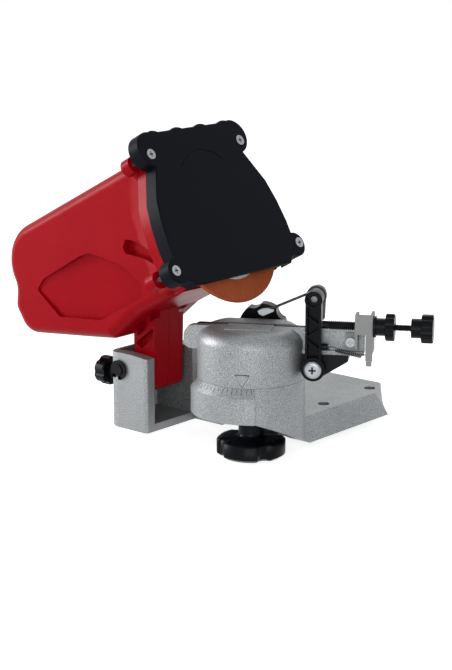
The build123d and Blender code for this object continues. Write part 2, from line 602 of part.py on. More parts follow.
def pawl_carrier():
    """Return the zinc sleeve across the chain with its rear arm."""
    y0 = LEVER_FRONT_Y + LEVER_T
    sleeve = rod_y(SLEEVE_R, y0, SLEEVE_BACK_Y, LEVER_X, LEVER_TOP_Z)
    arm = prism([(LEVER_X - 5.6, LEVER_TOP_Z), (LEVER_X + 6.2, LEVER_TOP_Z), (LEVER_X + 5.2, TABLE_TOP + 4.5),
                 (LEVER_X - 4.6, TABLE_TOP + 4.5)], [0, 0, 2, 2], -3, Plane.XZ.offset(-(SLEEVE_BACK_Y - 3)))
    arm += rod_y(SLEEVE_R, SLEEVE_BACK_Y - 3, SLEEVE_BACK_Y, LEVER_X, LEVER_TOP_Z)
    seat = rod_y(SLEEVE_R + 1, PAWL_Y - 2.2, PAWL_Y + 2.2, LEVER_X, LEVER_TOP_Z)
    seat -= rod_y(SLEEVE_R - 1, PAWL_Y - 3, PAWL_Y + 3, LEVER_X, LEVER_TOP_Z)
    pin = rod_y(2.5, LEVER_FRONT_Y + 1.5, y0, LEVER_X, LEVER_TOP_Z)
    return sleeve - seat + arm + pin


def pawl_parts():
    """Save the pawl: a wire arm with a hub on the sleeve, and its notched tip."""
    hub_in, hub_out = SLEEVE_R - 1 + RUNNING, SLEEVE_R + 1.2
    hub = rod_y(hub_out, PAWL_Y - 2, PAWL_Y + 2, LEVER_X, LEVER_TOP_Z)
    hub -= rod_y(hub_in, PAWL_Y - 3, PAWL_Y + 3, LEVER_X, LEVER_TOP_Z)
    start = Vector(LEVER_X - 6.0, PAWL_Y, LEVER_TOP_Z + 1.2)
    end = Vector(PAWL_TIP_X + 4, PAWL_Y, PAWL_TIP_Z + 2.2)
    wire = bar_between(PAWL_WIRE_R, start, end)
    save("pawl_arm", TABLE * (hub + wire))
    lean = degrees(asin((start.Z - end.Z) / (end - start).length))
    tip = Pos(end.X - 3.2, PAWL_Y, end.Z - 1.6) * Rot(0, -lean, 0) * (
        Box(10.5, 4.6, 4.6) - Pos(-5.2, 0, -2.2) * Rot(0, 45, 0) * Box(3, 6, 3) - Pos(0, 0, 3.4) * Rot(0, 20, 0)
        * Box(16, 6, 3))
    tip -= bar_between(PAWL_WIRE_R, start, end)
    save("pawl_tip", TABLE * tip)


def stop_bracket():
    """Return the bent sheet bracket at the rail end that carries the feed screw."""
    x0 = BRACKET_FLANGE_X
    x1 = x0 + BRACKET_FLANGE_GAP + 2 * SHEET_T
    web_y = LEVER_FRONT_Y - 0.5
    z0, z1 = TABLE_TOP + 0.4, TABLE_TOP + 15
    web = slab(x0, x1, web_y, web_y + SHEET_T, z0, z1)
    leg = slab(x1 - 5, x1, web_y, web_y + SHEET_T, TABLE_TOP - RAIL_H - 1, z0)
    flanges = slab(x0, x0 + SHEET_T, web_y, RAIL_FRONT_Y, TABLE_TOP - RAIL_H + 8, z1)
    flanges += slab(x1 - SHEET_T, x1, web_y, RAIL_FRONT_Y + 4, TABLE_TOP - RAIL_H + 4, z1)
    tab = slab(x0 - 8, x0 + SHEET_T, RAIL_FRONT_Y - SHEET_T, RAIL_FRONT_Y, TABLE_TOP - 14, TABLE_TOP - 1)
    body = web + leg + flanges + tab
    body -= rod_x(ROD_R + RUNNING, x0 - 1, x1 + 1, ROD_Y, ROD_Z)
    body -= rod_y(BRACKET_SCREW_R, RAIL_FRONT_Y - 5, RAIL_FRONT_Y + 1, BRACKET_SCREW_X, BRACKET_SCREW_Z)
    foot = slab(x1 - 4.5, x1 - 0.5, web_y, web_y + SHEET_T, TABLE_TOP - RAIL_H - 5, TABLE_TOP - RAIL_H - 1)
    peg = rod_y(SPRING_PEG_R, web_y + 1, SPRING_Y + 0.9, SPRING_PEG_X, SPRING_PEG_Z)
    return body + foot + peg


def feed_parts():
    """Save the feed screw, its cap, both knobs and the washer."""
    x_cap = LEVER_X + LEVER_HALF_W + PUSH_GAP
    x_flange = BRACKET_FLANGE_X + BRACKET_FLANGE_GAP + 2 * SHEET_T
    x_nut = x_flange + 2.2
    nut_hub, nut_flange = 6.7, 6.7
    x_thick_end = x_nut + nut_hub + nut_flange - 1.5
    x_knob = x_thick_end + 13.5
    save("feed_cap", TABLE * (rod_x(ROD_R - 0.6, x_cap, x_cap + 4, ROD_Y, ROD_Z)
                              - rod_x(1.5 + RUNNING, x_cap + 1.5, x_cap + 5, ROD_Y, ROD_Z)))
    screw = rod_x(1.5, x_cap + 1.7, x_cap + 4.2, ROD_Y, ROD_Z)
    screw += rod_x(ROD_R, x_cap + 4.1, x_thick_end, ROD_Y, ROD_Z)
    screw += rod_x(FINE_ROD_R, x_thick_end, x_knob + 12, ROD_Y, ROD_Z)
    save("feed_screw", TABLE * screw)
    washer = rod_x(7.8, x_flange + 0.1, x_nut - 0.1, ROD_Y, ROD_Z)
    save("feed_washer", TABLE * (washer - rod_x(ROD_R + RUNNING, x_flange - 1, x_nut + 1, ROD_Y, ROD_Z)))
    nut = lobed_knob(10.0, nut_flange, 8, 6.4, nut_hub, ROD_R + RUNNING, nut_hub + nut_flange + 1)
    save("lock_nut_knob", TABLE * (Pos(x_nut + nut_hub + nut_flange, ROD_Y, ROD_Z) * Rot(0, -90, 0) * nut))
    knob = lobed_knob(10.5, 8.7, 6, 7.1, 7.2, FINE_ROD_R, 12)
    save("feed_knob", TABLE * (Pos(x_knob + 7.2 + 8.7, ROD_Y, ROD_Z) * Rot(0, -90, 0) * knob))


def lever_spring():
    """Return the extension spring from the lever post to the bracket leg."""
    x0, z0 = LEVER_X + LEVER_HALF_W + 5.0, LEVER_PIVOT_Z + 15.5
    x1, z1 = SPRING_PEG_X - SPRING_PEG_R - FACE_GAP, SPRING_PEG_Z
    y = SPRING_Y
    length = sqrt((x1 - x0) ** 2 + (z1 - z0) ** 2)
    tilt = degrees(asin((z1 - z0) / length))
    body = rod_x(SPRING_CORE_R, 0, length, 0, 0)
    coils = 14
    for i in range(coils):
        body += Pos(3.5 + i * (length - 7) / (coils - 1), 0, 0) * Rot(0, 90, 0) * Torus(SPRING_COIL_R, SPRING_WIRE_R)
    return Pos(x0, y, z0) * Rot(0, -tilt, 0) * body


# ---------------------------------------------------------------- grinding head
def guard_half():
    """Return the corner points and radii of one half of the guard outline, bottom to top."""
    return [((54.0, GUARD_BOTTOM_V), 2), ((57.0, -34.5), 2), ((66.5, -31.0), 3), ((67.2, -5.0), 0),
            ((65.6, 12.0), 0), ((61.8, 29.4), 0), ((53.5, 46.2), 0), ((49.5, 54.5), 2)]


def guard_body(inset, s0, s1):
    """Return the guard's body outline, without lobes, drawn in by an inset, from s0 to s1."""
    half = [((x - inset, v + (inset if v < -30 else 0)), 0) for (x, v), _ in guard_half()]
    top = [((46.0 - inset, GUARD_TOP_V - 8 - inset), 0)]
    points = [p for p, _ in half + top]
    outline = points + [(-x, v) for x, v in reversed(points)]
    return Pos(0, 0, s0) * extrude(make_face(Polyline(*outline, close=True)), s1 - s0)


def guard_lobes(s0, s1):
    """Return the four screw lobes of the guard."""
    lobes = None
    for side in (-1, 1):
        for x, v, r in ((TOP_SCREW_X - 3.5, TOP_SCREW_V + 4, 13.6), (LOW_SCREW_X - 3.0, LOW_SCREW_V - 0.5, 9.6)):
            lobe = rod_z(r, s0, s1, side * x, v)
            lobes = lobe if lobes is None else lobes + lobe
    return lobes


def scalloped_top(s0, s1):
    """Return the finger grip along the top edge: a bar with four soft bumps."""
    bar = slab(-46, 46, GUARD_TOP_V - 22, GUARD_TOP_V - 1.6, s0, s1)
    for i in range(4):
        bar += rod_z(14.5, s0, s1, (i - 1.5) * 26.5, GUARD_TOP_V - 14.5)
    return bar


def guard_cover():
    """Return the black guard: face plate, rim, finger grip and screw lobes."""
    s0, s1 = GUARD_BACK_S, GUARD_FACE_S
    outer = guard_body(0, s0, s1) + guard_lobes(s0 + 1, s1) + scalloped_top(s0, s1)
    outer = chamfer(outer.faces().sort_by(Axis.Z)[-1].edges(), 0.8)
    hollow = guard_body(GUARD_WALL, s0 - 1, s1 - GUARD_WALL)
    hollow -= guard_lobes(s0 - 2, s1)
    hollow += rod_z(DISC_R + 2.5, s0 - 1, s1 - GUARD_WALL)
    hollow += slab(-DISC_R, DISC_R, GUARD_BOTTOM_V - 3, 0, s0 - 1, s1 - GUARD_WALL)
    body = outer - hollow
    arc = (rod_z(33, s1 - 0.5, s1 + 0.5, 0, 29) - rod_z(32, s1 - 1, s1 + 1, 0, 29)) & slab(
        -24, 24, 50, 70, s1 - 0.5, s1 + 0.5)
    body -= arc
    for x, v in screw_places():
        body -= rod_z(4.4, s1 - 1.6, s1 + 1, x, v) + rod_z(GUARD_SCREW_R + 0.2, s0 - 2, s1 + 1, x, v)
    return body


def screw_places():
    """Return the four guard screw positions in the disc plane."""
    return [(side * x, v) for side in (-1, 1) for x, v in ((TOP_SCREW_X, TOP_SCREW_V), (LOW_SCREW_X, LOW_SCREW_V))]


def guard_screws():
    """Return the four cross-recess guard screws."""
    screws = None
    top = GUARD_FACE_S - 0.2
    for x, v in screw_places():
        head = rod_z(4.0, top - 1.4, top + 1.0, x, v)
        cross = Pos(x, v, top + 0.8) * cross_recess(4.2, 2.2)
        screw = head - cross + rod_z(GUARD_SCREW_R, EAR_S0 + 2, top - 1.3, x, v)
        screws = screw if screws is None else screws + screw
    return screws


def housing():
    """Return the whole motor housing with its arm, before it is split at the middle."""
    profile = [(FRONT_S - 9, 70), (-191, 73.5), (-190.5, 34), (-200, 20), (-198, -4), (-132, -32), (-110, -41),
               (-77, -34), (FRONT_S - 9, -34)]
    radii = [0, 33, 14, 12, 17, 40, 8, 3, 0]
    pod = prism(profile, radii, SHELL_HALF, SIDE_FRAME, both=True)
    pod = fillet(pod.faces().filter_by(Axis.Y).edges(), 9)
    flare_back = Pos(0, 18, -50) * RectangleRounded(2 * SHELL_HALF - 3, 101, 12)
    flare_front = Pos(0, 21, FRONT_S - 9) * Trapezoid(2 * 60, 108, 79)
    flare_front = fillet(flare_front.vertices(), 12)
    flare = on_disc(loft([flare_back.face(), flare_front.face()]))
    rim = on_disc(guard_body(0.8, FRONT_S - 9, FRONT_S))
    chamber = on_disc(guard_body(4.5, CHAMBER_S, FRONT_S + 1)
                      + slab(-DISC_R, DISC_R, -60, 0, CHAMBER_S, FRONT_S + 1))
    ears = None
    for x, v in screw_places():
        ear = rod_z(6.5, EAR_S0, EAR_S1, x, v)
        ear += Pos(x * 0.86, v * 0.93, (EAR_S0 + EAR_S1) / 2) * Rot(0, 0, degrees_of(x, v)) * Box(18, 9, EAR_S1 - EAR_S0)
        ears = ear if ears is None else ears + ear
    ears = on_disc(ears)
    body = pod + flare + rim + ears + arm() - chamber
    for x, v in screw_places():
        body -= on_disc(rod_z(GUARD_SCREW_R, EAR_S0 + 2, 0, x, v))
    return body - head_cuts()


def degrees_of(x, v):
    """Return the direction of a point from the disc centre, in degrees."""
    return degrees(atan2(v, x))


def arm():
    """Return the arm from the housing down to the pivot."""
    blade = prism([(ARM_REAR_X, 108), (ARM_REAR_X, 58), (ARM_FOOT_X, 45), (ARM_FOOT_X, 27), (-84, 29), (-82, 96)],
                  [0, 4, 3, 7, 8, 0], ARM_HALF, Plane.XZ, both=True)
    return blade + rod_y(PIVOT_BOSS_R, -ARM_HALF, ARM_HALF, PIVOT_X, PIVOT_Z)


def head_cuts():
    """Return the hollows and recesses of the housing."""
    motor = rod_z(MOTOR_R + 1.2, CAVITY_S0, CAVITY_S1)
    motor += rod_z(BEARING_R, REAR_BEARING_S, FRONT_BEARING_S + BEARING_T) + rod_z(SHAFT_R + 2, -110, 0)
    hollow = prism([(-30, 62), (-158, 64), (-176, 52), (-184, 16), (-150, -12), (-120, -20), (-101.5, -20),
                    (-101.5, 34), (-30, 34)], [0] * 9, SHELL_HALF - SHELL_WALL, SIDE_FRAME, both=True)
    for s, v in CASE_BOSSES:
        hollow -= on_side(s, v, rod_z(CASE_BOSS_R, -SHELL_HALF, SHELL_HALF))
    cuts = on_disc(Pos(0, DISC_V, 0) * motor) + hollow
    for place, seat_y in [(p, CASE_SEAT_Y) for p in CASE_SCREWS] + [(ARM_SCREW, ARM_SEAT_Y)]:
        cuts += on_side(*place, rod_z(CASE_HEAD_R + 0.3, seat_y, seat_y + 30))
        cuts += on_side(*place, rod_z(CASE_SCREW_R, -12, seat_y + 1))
    cuts += on_side(SWITCH_S, SWITCH_V, Pos(0, 0, SHELL_HALF) * Box(SWITCH_L, SWITCH_W, 40))
    cuts += on_side(GLAND_S, GLAND_V, rod_z(GLAND_R, 20, 60))
    cuts += rod_y(PIVOT_R + RUNNING, -50, 50, PIVOT_X, PIVOT_Z)
    panel = [(-166, 22), (-155, 27), (-108, 28), (-97, 26), (-70, 6), (-58, -14), (-64, -24), (-112, -24), (-153, -6)]
    slot = [(-62, 17), (-57, 21.5), (-51, 18.5), (-24, -3), (-30, -9), (-62, 12)]
    louvres = (((-101, 88), (-91, 94), (-91, 79), (-100, 71)), ((-87, 96), (-82, 97), (-82, 88), (-87, 84)),
               ((-102, 66), (-84, 80), (-84, 72), (-96, 62)))
    for sign in (-1, 1):
        cuts += side_recess(panel, 8, sign * SHELL_HALF, 5.0)
        cuts += side_recess(slot, 2, sign * SHELL_HALF, 6.0)
        for corners in louvres:
            cuts += prism(corners, [0.8] * 4, 6, Plane.XZ.offset(-sign * ARM_HALF), both=True)
    return cuts


def side_recess(points, radius, face_y, depth):
    """Return a cutter for a moulded recess in a side of the housing."""
    plane = Plane(origin=SIDE_FRAME.origin + Vector(0, face_y, 0), x_dir=AXIS_N, z_dir=(0, -1, 0))
    return prism(points, [radius * 0.35] * len(points), depth, plane, both=True)


def housing_halves():
    """Save the two housing halves, split at the middle plane."""
    whole = housing()
    reach = 300
    save("housing_left", whole & slab(-reach, reach, -reach, -SPLIT_GAP, -reach, reach))
    save("housing_right", whole & slab(-reach, reach, SPLIT_GAP, reach, -reach, reach))


def case_screws():
    """Return the screws that hold the housing halves together."""
    screws = None
    for place, seat_y in [(p, CASE_SEAT_Y) for p in CASE_SCREWS] + [(ARM_SCREW, ARM_SEAT_Y)]:
        screw = rod_z(CASE_HEAD_R, seat_y, seat_y + 2.6) - Pos(0, 0, seat_y + 2.4) * cross_recess(4.6, 2)
        screw = on_side(*place, screw + rod_z(CASE_SCREW_R, -12, seat_y + 0.4))
        screws = screw if screws is None else screws + screw
    return screws


def switch_frame():
    """Return the bezel and body of the rocker switch, seen with +Z outward."""
    body = slab(-SWITCH_L / 2, SWITCH_L / 2, -SWITCH_W / 2, SWITCH_W / 2, 22, SHELL_HALF)
    body += slab(-SWITCH_L / 2 - 2, SWITCH_L / 2 + 2, -SWITCH_W / 2 - 2, SWITCH_W / 2 + 2,
                 SHELL_HALF, SHELL_HALF + 1.6)
    opening_l, opening_w = ROCKER_L / 2 + 0.8, ROCKER_W / 2 + FACE_GAP
    body -= slab(-opening_l, opening_l, -opening_w, opening_w, 31, SHELL_HALF + 3)
    return body - rod_y(1.2 + RUNNING, -opening_w - 1.5, opening_w + 1.5, 0, SWITCH_PIVOT_Y)


def switch_rocker():
    """Return the rocker, tilted to its off position."""
    half = ROCKER_L / 2
    profile = [(-half, 5), (0, 4), (half, 5), (half, 1), (3, -3), (-3, -3), (-half, 1)]
    rocker = prism(profile, [0.6, 0, 0.6, 0.6, 0.6, 0.6, 0.6], ROCKER_W / 2, Plane.XZ, both=True)
    rocker += rod_y(1.2, -ROCKER_W / 2 - 1.5, ROCKER_W / 2 + 1.5, 0, 0)
    return Pos(0, 0, SWITCH_PIVOT_Y) * Rot(0, -ROCKER_TILT, 0) * rocker


def cable_gland():
    """Return the cord gland with its inner nut, along +Z, open for the supply cord."""
    gland = rod_z(GLAND_R, 26, SHELL_HALF) + rod_z(GLAND_R + 2, SHELL_HALF, SHELL_HALF + 4)
    gland += rod_z(GLAND_R + 1.6, SHELL_HALF - 14, SHELL_HALF - 10)
    gland += Pos(0, 0, SHELL_HALF + 14) * Cone(6.4, 5, 20)
    for i in range(4):
        z = SHELL_HALF + 8 + 4 * i
        gland -= rod_z(9, z, z + 1.4) - rod_z(4.6, z - 1, z + 3)
    return gland - rod_z(CORD_R, 0, SHELL_HALF + 30)


def motor_parts():
    """Save everything that turns on the spindle, and the motor around it."""
    disc_s1 = DISC_S0 + DISC_T
    flange_s0 = disc_s1 + LABEL_T
    disc = rod_z(DISC_R, DISC_S0, disc_s1) - rod_z(DISC_BORE_R, DISC_S0 - 1, disc_s1 + 1)
    label = rod_z(LABEL_R, disc_s1, flange_s0) - rod_z(DISC_BORE_R, disc_s1 - 1, flange_s0 + 1)
    inner = rod_z(FLANGE_R, CHAMBER_S + 1.8, DISC_S0) + rod_z(DISC_BORE_R, DISC_S0 - 1, disc_s1 - 0.2)
    inner -= rod_z(SHAFT_R, CHAMBER_S, disc_s1 + 1)
    outer = rod_z(FLANGE_R, flange_s0, flange_s0 + FLANGE_T)
    outer = chamfer(outer.edges().sort_by(Axis.Z)[-1], 0.8)
    outer -= rod_z(2.5, flange_s0 - 1, 9) + rod_z(5.0, flange_s0 + 1.2, 9)
    screw = rod_z(5.0, flange_s0 + 1.2, flange_s0 + FLANGE_T) + rod_z(2.5, -9, flange_s0 + 1.3)
    screw -= Pos(0, 0, flange_s0 + FLANGE_T - 1.2) * extrude(RegularPolygon(2.6, 6), 3)
    shaft = rod_z(SHAFT_R, REAR_BEARING_S, disc_s1 - 0.2) - rod_z(2.5, -9, 3)
    rotor = rod_z(ROTOR_R, STATOR_S0, STATOR_S1) - rod_z(SHAFT_R, -99, 0)
    for i in range(12):
        slot_cut = Rot(0, 0, i * 30) * slab(ROTOR_R - 1.2, ROTOR_R + 2, -0.7, 0.7, STATOR_S0 - 1, STATOR_S1 + 1)
        rotor -= slot_cut
    commutator = rod_z(COMMUTATOR_R, -91, -83) - rod_z(SHAFT_R, -99, 0)
    fan = rod_z(8, -33, -26) - rod_z(SHAFT_R, -99, 0) + rod_z(FAN_R, -33, -31.6) - rod_z(SHAFT_R, -99, 0)
    for i in range(9):
        fan += Rot(0, 0, i * 40) * slab(7, FAN_R - 0.5, -0.7, 0.7, -32, -26)
    stator = rod_z(MOTOR_R, STATOR_S0, STATOR_S1) - rod_z(ROTOR_R + 0.8, -99, 0)
    stator += rod_z(MOTOR_R + 1.2, STATOR_S0 + 8, STATOR_S1 - 8) - rod_z(MOTOR_R - 2, -99, 0)
    brushes = None
    for sign in (-1, 1):
        x0, x1 = sorted((sign * (COMMUTATOR_R + 0.3), sign * (MOTOR_R + 0.4)))
        holder = slab(x0, x1, -3.5, 3.5, -90.5, -83.5)
        brushes = holder if brushes is None else brushes + holder
    rear = rod_z(BEARING_R, REAR_BEARING_S, REAR_BEARING_S + BEARING_T)
    front = rod_z(BEARING_R, FRONT_BEARING_S, FRONT_BEARING_S + BEARING_T)
    bore = rod_z(SHAFT_R + RUNNING, -120, 10)
    for name, shape in (("grinding_disc", disc), ("disc_label", label), ("inner_flange", inner),
                        ("outer_flange", outer), ("disc_screw", screw), ("motor_shaft", shaft),
                        ("motor_rotor", rotor), ("commutator", commutator), ("cooling_fan", fan),
                        ("motor_stator", stator), ("brush_holders", brushes), ("rear_bearing", rear - bore),
                        ("front_bearing", front - bore)):
        save(name, on_disc(Pos(0, DISC_V, 0) * shape))


if __name__ == "__main__":
    save("base_casting", base_casting())
    save("pivot_pin", pivot_pin())
    save("pivot_clip", pivot_clip())
    save("head_spring", head_spring())
    depth_stop_parts()
    save("rotary_table", TABLE * rotary_table())
    save("moving_jaw", TABLE * moving_jaw())
    save("clamp_screw", TABLE * clamp_screw())
    save("clamp_knob", TABLE * clamp_knob())
    lock_parts()
    save("stop_lever", TABLE * stop_lever())
    save("lever_screw", TABLE * lever_screw())
    save("stop_arm", TABLE * stop_arm())
    save("stop_arm_screws", TABLE * stop_arm_screws())
    save("pivot_nut", TABLE * pivot_nut())
    save("pawl_carrier", TABLE * pawl_carrier())
    pawl_parts()
    save("stop_bracket", TABLE * stop_bracket())
    feed_parts()
    save("lever_spring", TABLE * lever_spring())
    save("guard_cover", on_disc(guard_cover()))
    save("guard_screws", on_disc(guard_screws()))
    housing_halves()
    save("case_screws", case_screws())
    save("switch_frame", on_side(SWITCH_S, SWITCH_V, switch_frame()))
    save("switch_rocker", on_side(SWITCH_S, SWITCH_V, switch_rocker()))
    save("cable_gland", on_side(GLAND_S, GLAND_V, cable_gland()))
    save("guide_pins", TABLE * guide_pins())
    save("bracket_screw", TABLE * bracket_screw())
    motor_parts()
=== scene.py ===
"""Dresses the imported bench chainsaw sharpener: finishes, rounded edges, threads, springs and studio."""

import json
import logging
from dataclasses import dataclass, field
from enum import Enum
from math import atan2, cos, degrees, pi, radians, sin
from typing import Callable, Sequence

import bmesh
import bpy
from mathutils import Matrix, Vector


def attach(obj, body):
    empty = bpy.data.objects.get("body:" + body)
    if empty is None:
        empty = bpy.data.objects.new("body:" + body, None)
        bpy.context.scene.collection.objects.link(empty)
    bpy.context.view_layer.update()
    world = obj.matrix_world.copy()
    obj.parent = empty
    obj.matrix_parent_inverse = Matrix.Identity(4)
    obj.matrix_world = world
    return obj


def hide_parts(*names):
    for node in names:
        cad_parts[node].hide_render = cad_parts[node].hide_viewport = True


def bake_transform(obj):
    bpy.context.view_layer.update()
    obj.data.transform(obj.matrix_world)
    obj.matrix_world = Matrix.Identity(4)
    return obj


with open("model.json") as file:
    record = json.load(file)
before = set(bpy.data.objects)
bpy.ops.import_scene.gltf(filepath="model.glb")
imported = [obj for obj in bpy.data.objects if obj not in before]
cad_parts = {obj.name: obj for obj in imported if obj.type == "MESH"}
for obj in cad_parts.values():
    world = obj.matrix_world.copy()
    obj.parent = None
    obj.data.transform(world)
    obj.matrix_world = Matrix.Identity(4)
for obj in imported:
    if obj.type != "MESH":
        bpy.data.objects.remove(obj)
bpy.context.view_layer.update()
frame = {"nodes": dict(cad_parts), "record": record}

LOG = logging.getLogger("sharpener")
MM = 0.001
WELD_MM = 0.002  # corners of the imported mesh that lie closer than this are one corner
FLAT_DEG = 0.5  # faces that turn less than this are one face
# Lengths are in millimetres and angles in degrees. Only the studio's lamps, clip and floor size are in
# metres. The model is drawn about the swivel axis; the row frame starts at the bench holes.
SWIVEL = Vector((12.0, -96.0, 0.0))
TABLE_SWING = 30.0
HEAD_TILT = 28.7
DISC_CENTRE = Vector((-29.9, 0.0, 160.2))
SPINDLE_V = -2.6


# ---------------------------------------------------------------- spaces
def machine_space() -> Matrix:
    """Return the matrix from millimetres about the swivel axis to the row frame."""
    return Matrix.Scale(MM, 4) @ Matrix.Translation(SWIVEL)


def table_space() -> Matrix:
    """Return the matrix from table millimetres (along the rail, across it, up) to the row frame."""
    return machine_space() @ Matrix.Rotation(radians(TABLE_SWING), 4, "Z")


def head_space() -> Matrix:
    """Build the head's frame from its tilt.

    Returns:
        The matrix from disc millimetres (right, up the disc, along its axis) to the row frame.
    """
    tilt = radians(HEAD_TILT)
    across, up = Vector((0, 1, 0)), Vector((-sin(tilt), 0, cos(tilt)))
    out = Vector((cos(tilt), 0, sin(tilt)))
    turn = Matrix((across, up, out)).transposed().to_4x4()
    return machine_space() @ Matrix.Translation(DISC_CENTRE) @ turn


# ---------------------------------------------------------------- finishes
CLOUD_MM = 30.0  # clouds a few centimetres across: handling, flow marks and uneven blasting
CLOUD_RANGE = (0.3, 0.7)  # the part of the noise that goes from one colour to the other
GRIT_RANGE = (0.35, 0.65)
ROUGHNESS_SWING = 0.07
LEAST_ROUGHNESS = 0.03
PIT_TO_GRAIN = 2.2  # pits of a cast or gritty skin are wider than its grain
BUMP_STRENGTH = 0.7
ROLLED_STRETCH = (1.0, 1.0, 0.25)  # drawn and rolled metal has its marks along one way


class Grain(Enum):
    """What the surface of a material is covered with."""

    CAST = "cast skin, shot blasted"
    MOULDED = "fine spark-eroded mould texture"
    ROLLED = "drawn or rolled metal"
    GRIT = "bonded abrasive grains"
    PAPER = "blotting paper"


@dataclass(frozen=True)
class Finish:
    """One real material with the way its surface was made."""

    name: str
    colour: str
    second: str
    roughness: float
    grain: Grain
    grain_mm: float
    bump_mm: float
    metallic: float = 0.0
    speckle: float = 0.0
    specular: float = 0.5

    def build(self) -> bpy.types.Material:
        """Make the node material.

        Returns:
            The new material.
        """
        material = bpy.data.materials.new(self.name)
        material.use_nodes = True
        tree = material.node_tree
        shader = tree.nodes["Principled BSDF"]
        shader.inputs["Metallic"].default_value = self.metallic
        shader.inputs["Specular IOR Level"].default_value = self.specular
        place = add_node(tree, "ShaderNodeTexCoord").outputs["Object"]
        if self.grain is Grain.ROLLED:
            place = add_node(tree, "ShaderNodeMapping", {"Scale": ROLLED_STRETCH},
                             {"Vector": place}).outputs[0]
        cloud = add_node(tree, "ShaderNodeTexNoise",
                         {"Scale": 1 / (CLOUD_MM * MM), "Detail": 3.0, "Roughness": 0.6},
                         {"Vector": place}).outputs["Fac"]
        fine = add_node(tree, "ShaderNodeTexNoise", {"Scale": 1 / (self.grain_mm * MM), "Detail": 2.0},
                        {"Vector": place}).outputs["Fac"]
        body = add_node(tree, "ShaderNodeMix",
                        {"data_type": "RGBA", 6: linear(self.colour), 7: linear(self.second)},
                        {0: spread(tree, cloud, *CLOUD_RANGE)}).outputs[2]
        if self.speckle:
            grit = spread(tree, fine, *GRIT_RANGE)
            tone = add_node(tree, "ShaderNodeMapRange",
                            {"To Min": 1 - self.speckle, "To Max": 1 + self.speckle},
                            {"Value": grit}).outputs[0]
            body = add_node(tree, "ShaderNodeVectorMath", {"operation": "MULTIPLY"},
                            {0: body, 1: tone}).outputs[0]
        tree.links.new(body, shader.inputs["Base Color"])
        rough = add_node(tree, "ShaderNodeMapRange",
                         {"To Min": max(self.roughness - ROUGHNESS_SWING, LEAST_ROUGHNESS),
                          "To Max": min(self.roughness + ROUGHNESS_SWING, 1.0)},
                         {"Value": cloud}).outputs[0]
        tree.links.new(rough, shader.inputs["Roughness"])
        height = fine
        if self.grain in (Grain.CAST, Grain.GRIT):
            pits = add_node(tree, "ShaderNodeTexVoronoi",
                            {"Scale": 1 / (self.grain_mm * PIT_TO_GRAIN * MM)},
                            {"Vector": place}).outputs["Distance"]
            height = add_node(tree, "ShaderNodeMath", {"operation": "ADD"},
                              {0: fine, 1: pits}).outputs[0]
        bump = add_node(tree, "ShaderNodeBump",
                        {"Distance": self.bump_mm * MM, "Strength": BUMP_STRENGTH},
                        {"Height": height}).outputs[0]
        tree.links.new(bump, shader.inputs["Normal"])
        return material


def linear(code: str) -> tuple[float, float, float, float]:
    """Turn an sRGB hex colour into linear light.

    Args:
        code: The colour as six hex digits.

    Returns:
        Red, green, blue and an alpha of 1.
    """
    parts = [int(code[i:i + 2], 16) / 255 for i in (0, 2, 4)]
    # the curve of the sRGB standard
    red, green, blue = (c / 12.92 if c <= 0.04045 else ((c + 0.055) / 1.055) ** 2.4 for c in parts)
    return red, green, blue, 1.0


def add_node(tree: bpy.types.NodeTree, kind: str, settings: dict | None = None,
             links: dict | None = None) -> bpy.types.Node:
    """Add one shader node.

    Args:
        tree: The node tree.
        kind: The node's type name.
        settings: Properties by name, and input values by name or number.
        links: Output sockets by the input they go to.

    Returns:
        The new node.
    """
    node = tree.nodes.new(kind)
    for key, value in (settings or {}).items():
        if isinstance(key, str) and hasattr(node, key):
            setattr(node, key, value)
        else:
            node.inputs[key].default_value = value
    for key, source in (links or {}).items():
        tree.links.new(source, node.inputs[key])
    return node


def spread(tree: bpy.types.NodeTree, value: bpy.types.NodeSocket, low: float,
           high: float) -> bpy.types.NodeSocket:
    """Stretch a noise value so that low becomes 0 and high becomes 1.

    Args:
        tree: The node tree.
        value: The socket to stretch.
        low: The value that becomes 0.
        high: The value that becomes 1.

    Returns:
        The stretched value's socket.
    """
    return add_node(tree, "ShaderNodeMapRange", {"From Min": low, "From Max": high},
                    {"Value": value}).outputs[0]


# Sand-cast aluminium, tumbled in steel shot: a dull mid grey with a visible sparkle of grain, drawn
# coarser than the real shot marks so that it shows
CAST_ALUMINIUM = Finish("cast_aluminium_shot_blasted", "979A9C", "8E9294", 0.46, Grain.CAST, 0.55, 0.1,
                        metallic=0.6, speckle=0.45, specular=0.4)
# Polyamide housing moulded in solid red, satin gloss that rolls softly over the curves
RED_POLYAMIDE = Finish("red_polyamide_moulded", "A40315", "9C0213", 0.34, Grain.MOULDED, 0.35, 0.008,
                       specular=0.07)
# Glass-filled polyamide guard: blue-black with a fine silk texture
BLACK_POLYAMIDE = Finish("black_polyamide_moulded", "0B0E15", "0D1119", 0.46, Grain.MOULDED, 0.3, 0.014,
                         specular=0.05)
# Knobs in the same family, a little glossier where fingers polish them
KNOB_PLASTIC = Finish("black_knob_polypropylene", "090B0F", "0C0E13", 0.28, Grain.MOULDED, 0.3, 0.008,
                      specular=0.09)
# Steel with a chemical black oxide skin: near black with a soft metal sheen. The same finish is also laid as
# painted shade on the floors of the screws' cross recesses
BLACK_OXIDE_AND_RECESS_SHADE = Finish("black_oxide_steel_and_recess_shade", "121315", "18191B", 0.42, Grain.ROLLED, 0.4, 0.01,
                     metallic=0.2, specular=0.12)
# Bright zinc plating over steel: cool silver with slight clouding
ZINC_STEEL = Finish("zinc_plated_steel", "A9ADB1", "94989C", 0.3, Grain.ROLLED, 0.4, 0.006, metallic=0.85)
# Zinc die casting, vibratory finished: mid grey, half matt
ZINC_CASTING = Finish("zinc_die_casting", "7C7F83", "6E7175", 0.42, Grain.CAST, 0.4, 0.012, metallic=0.7)
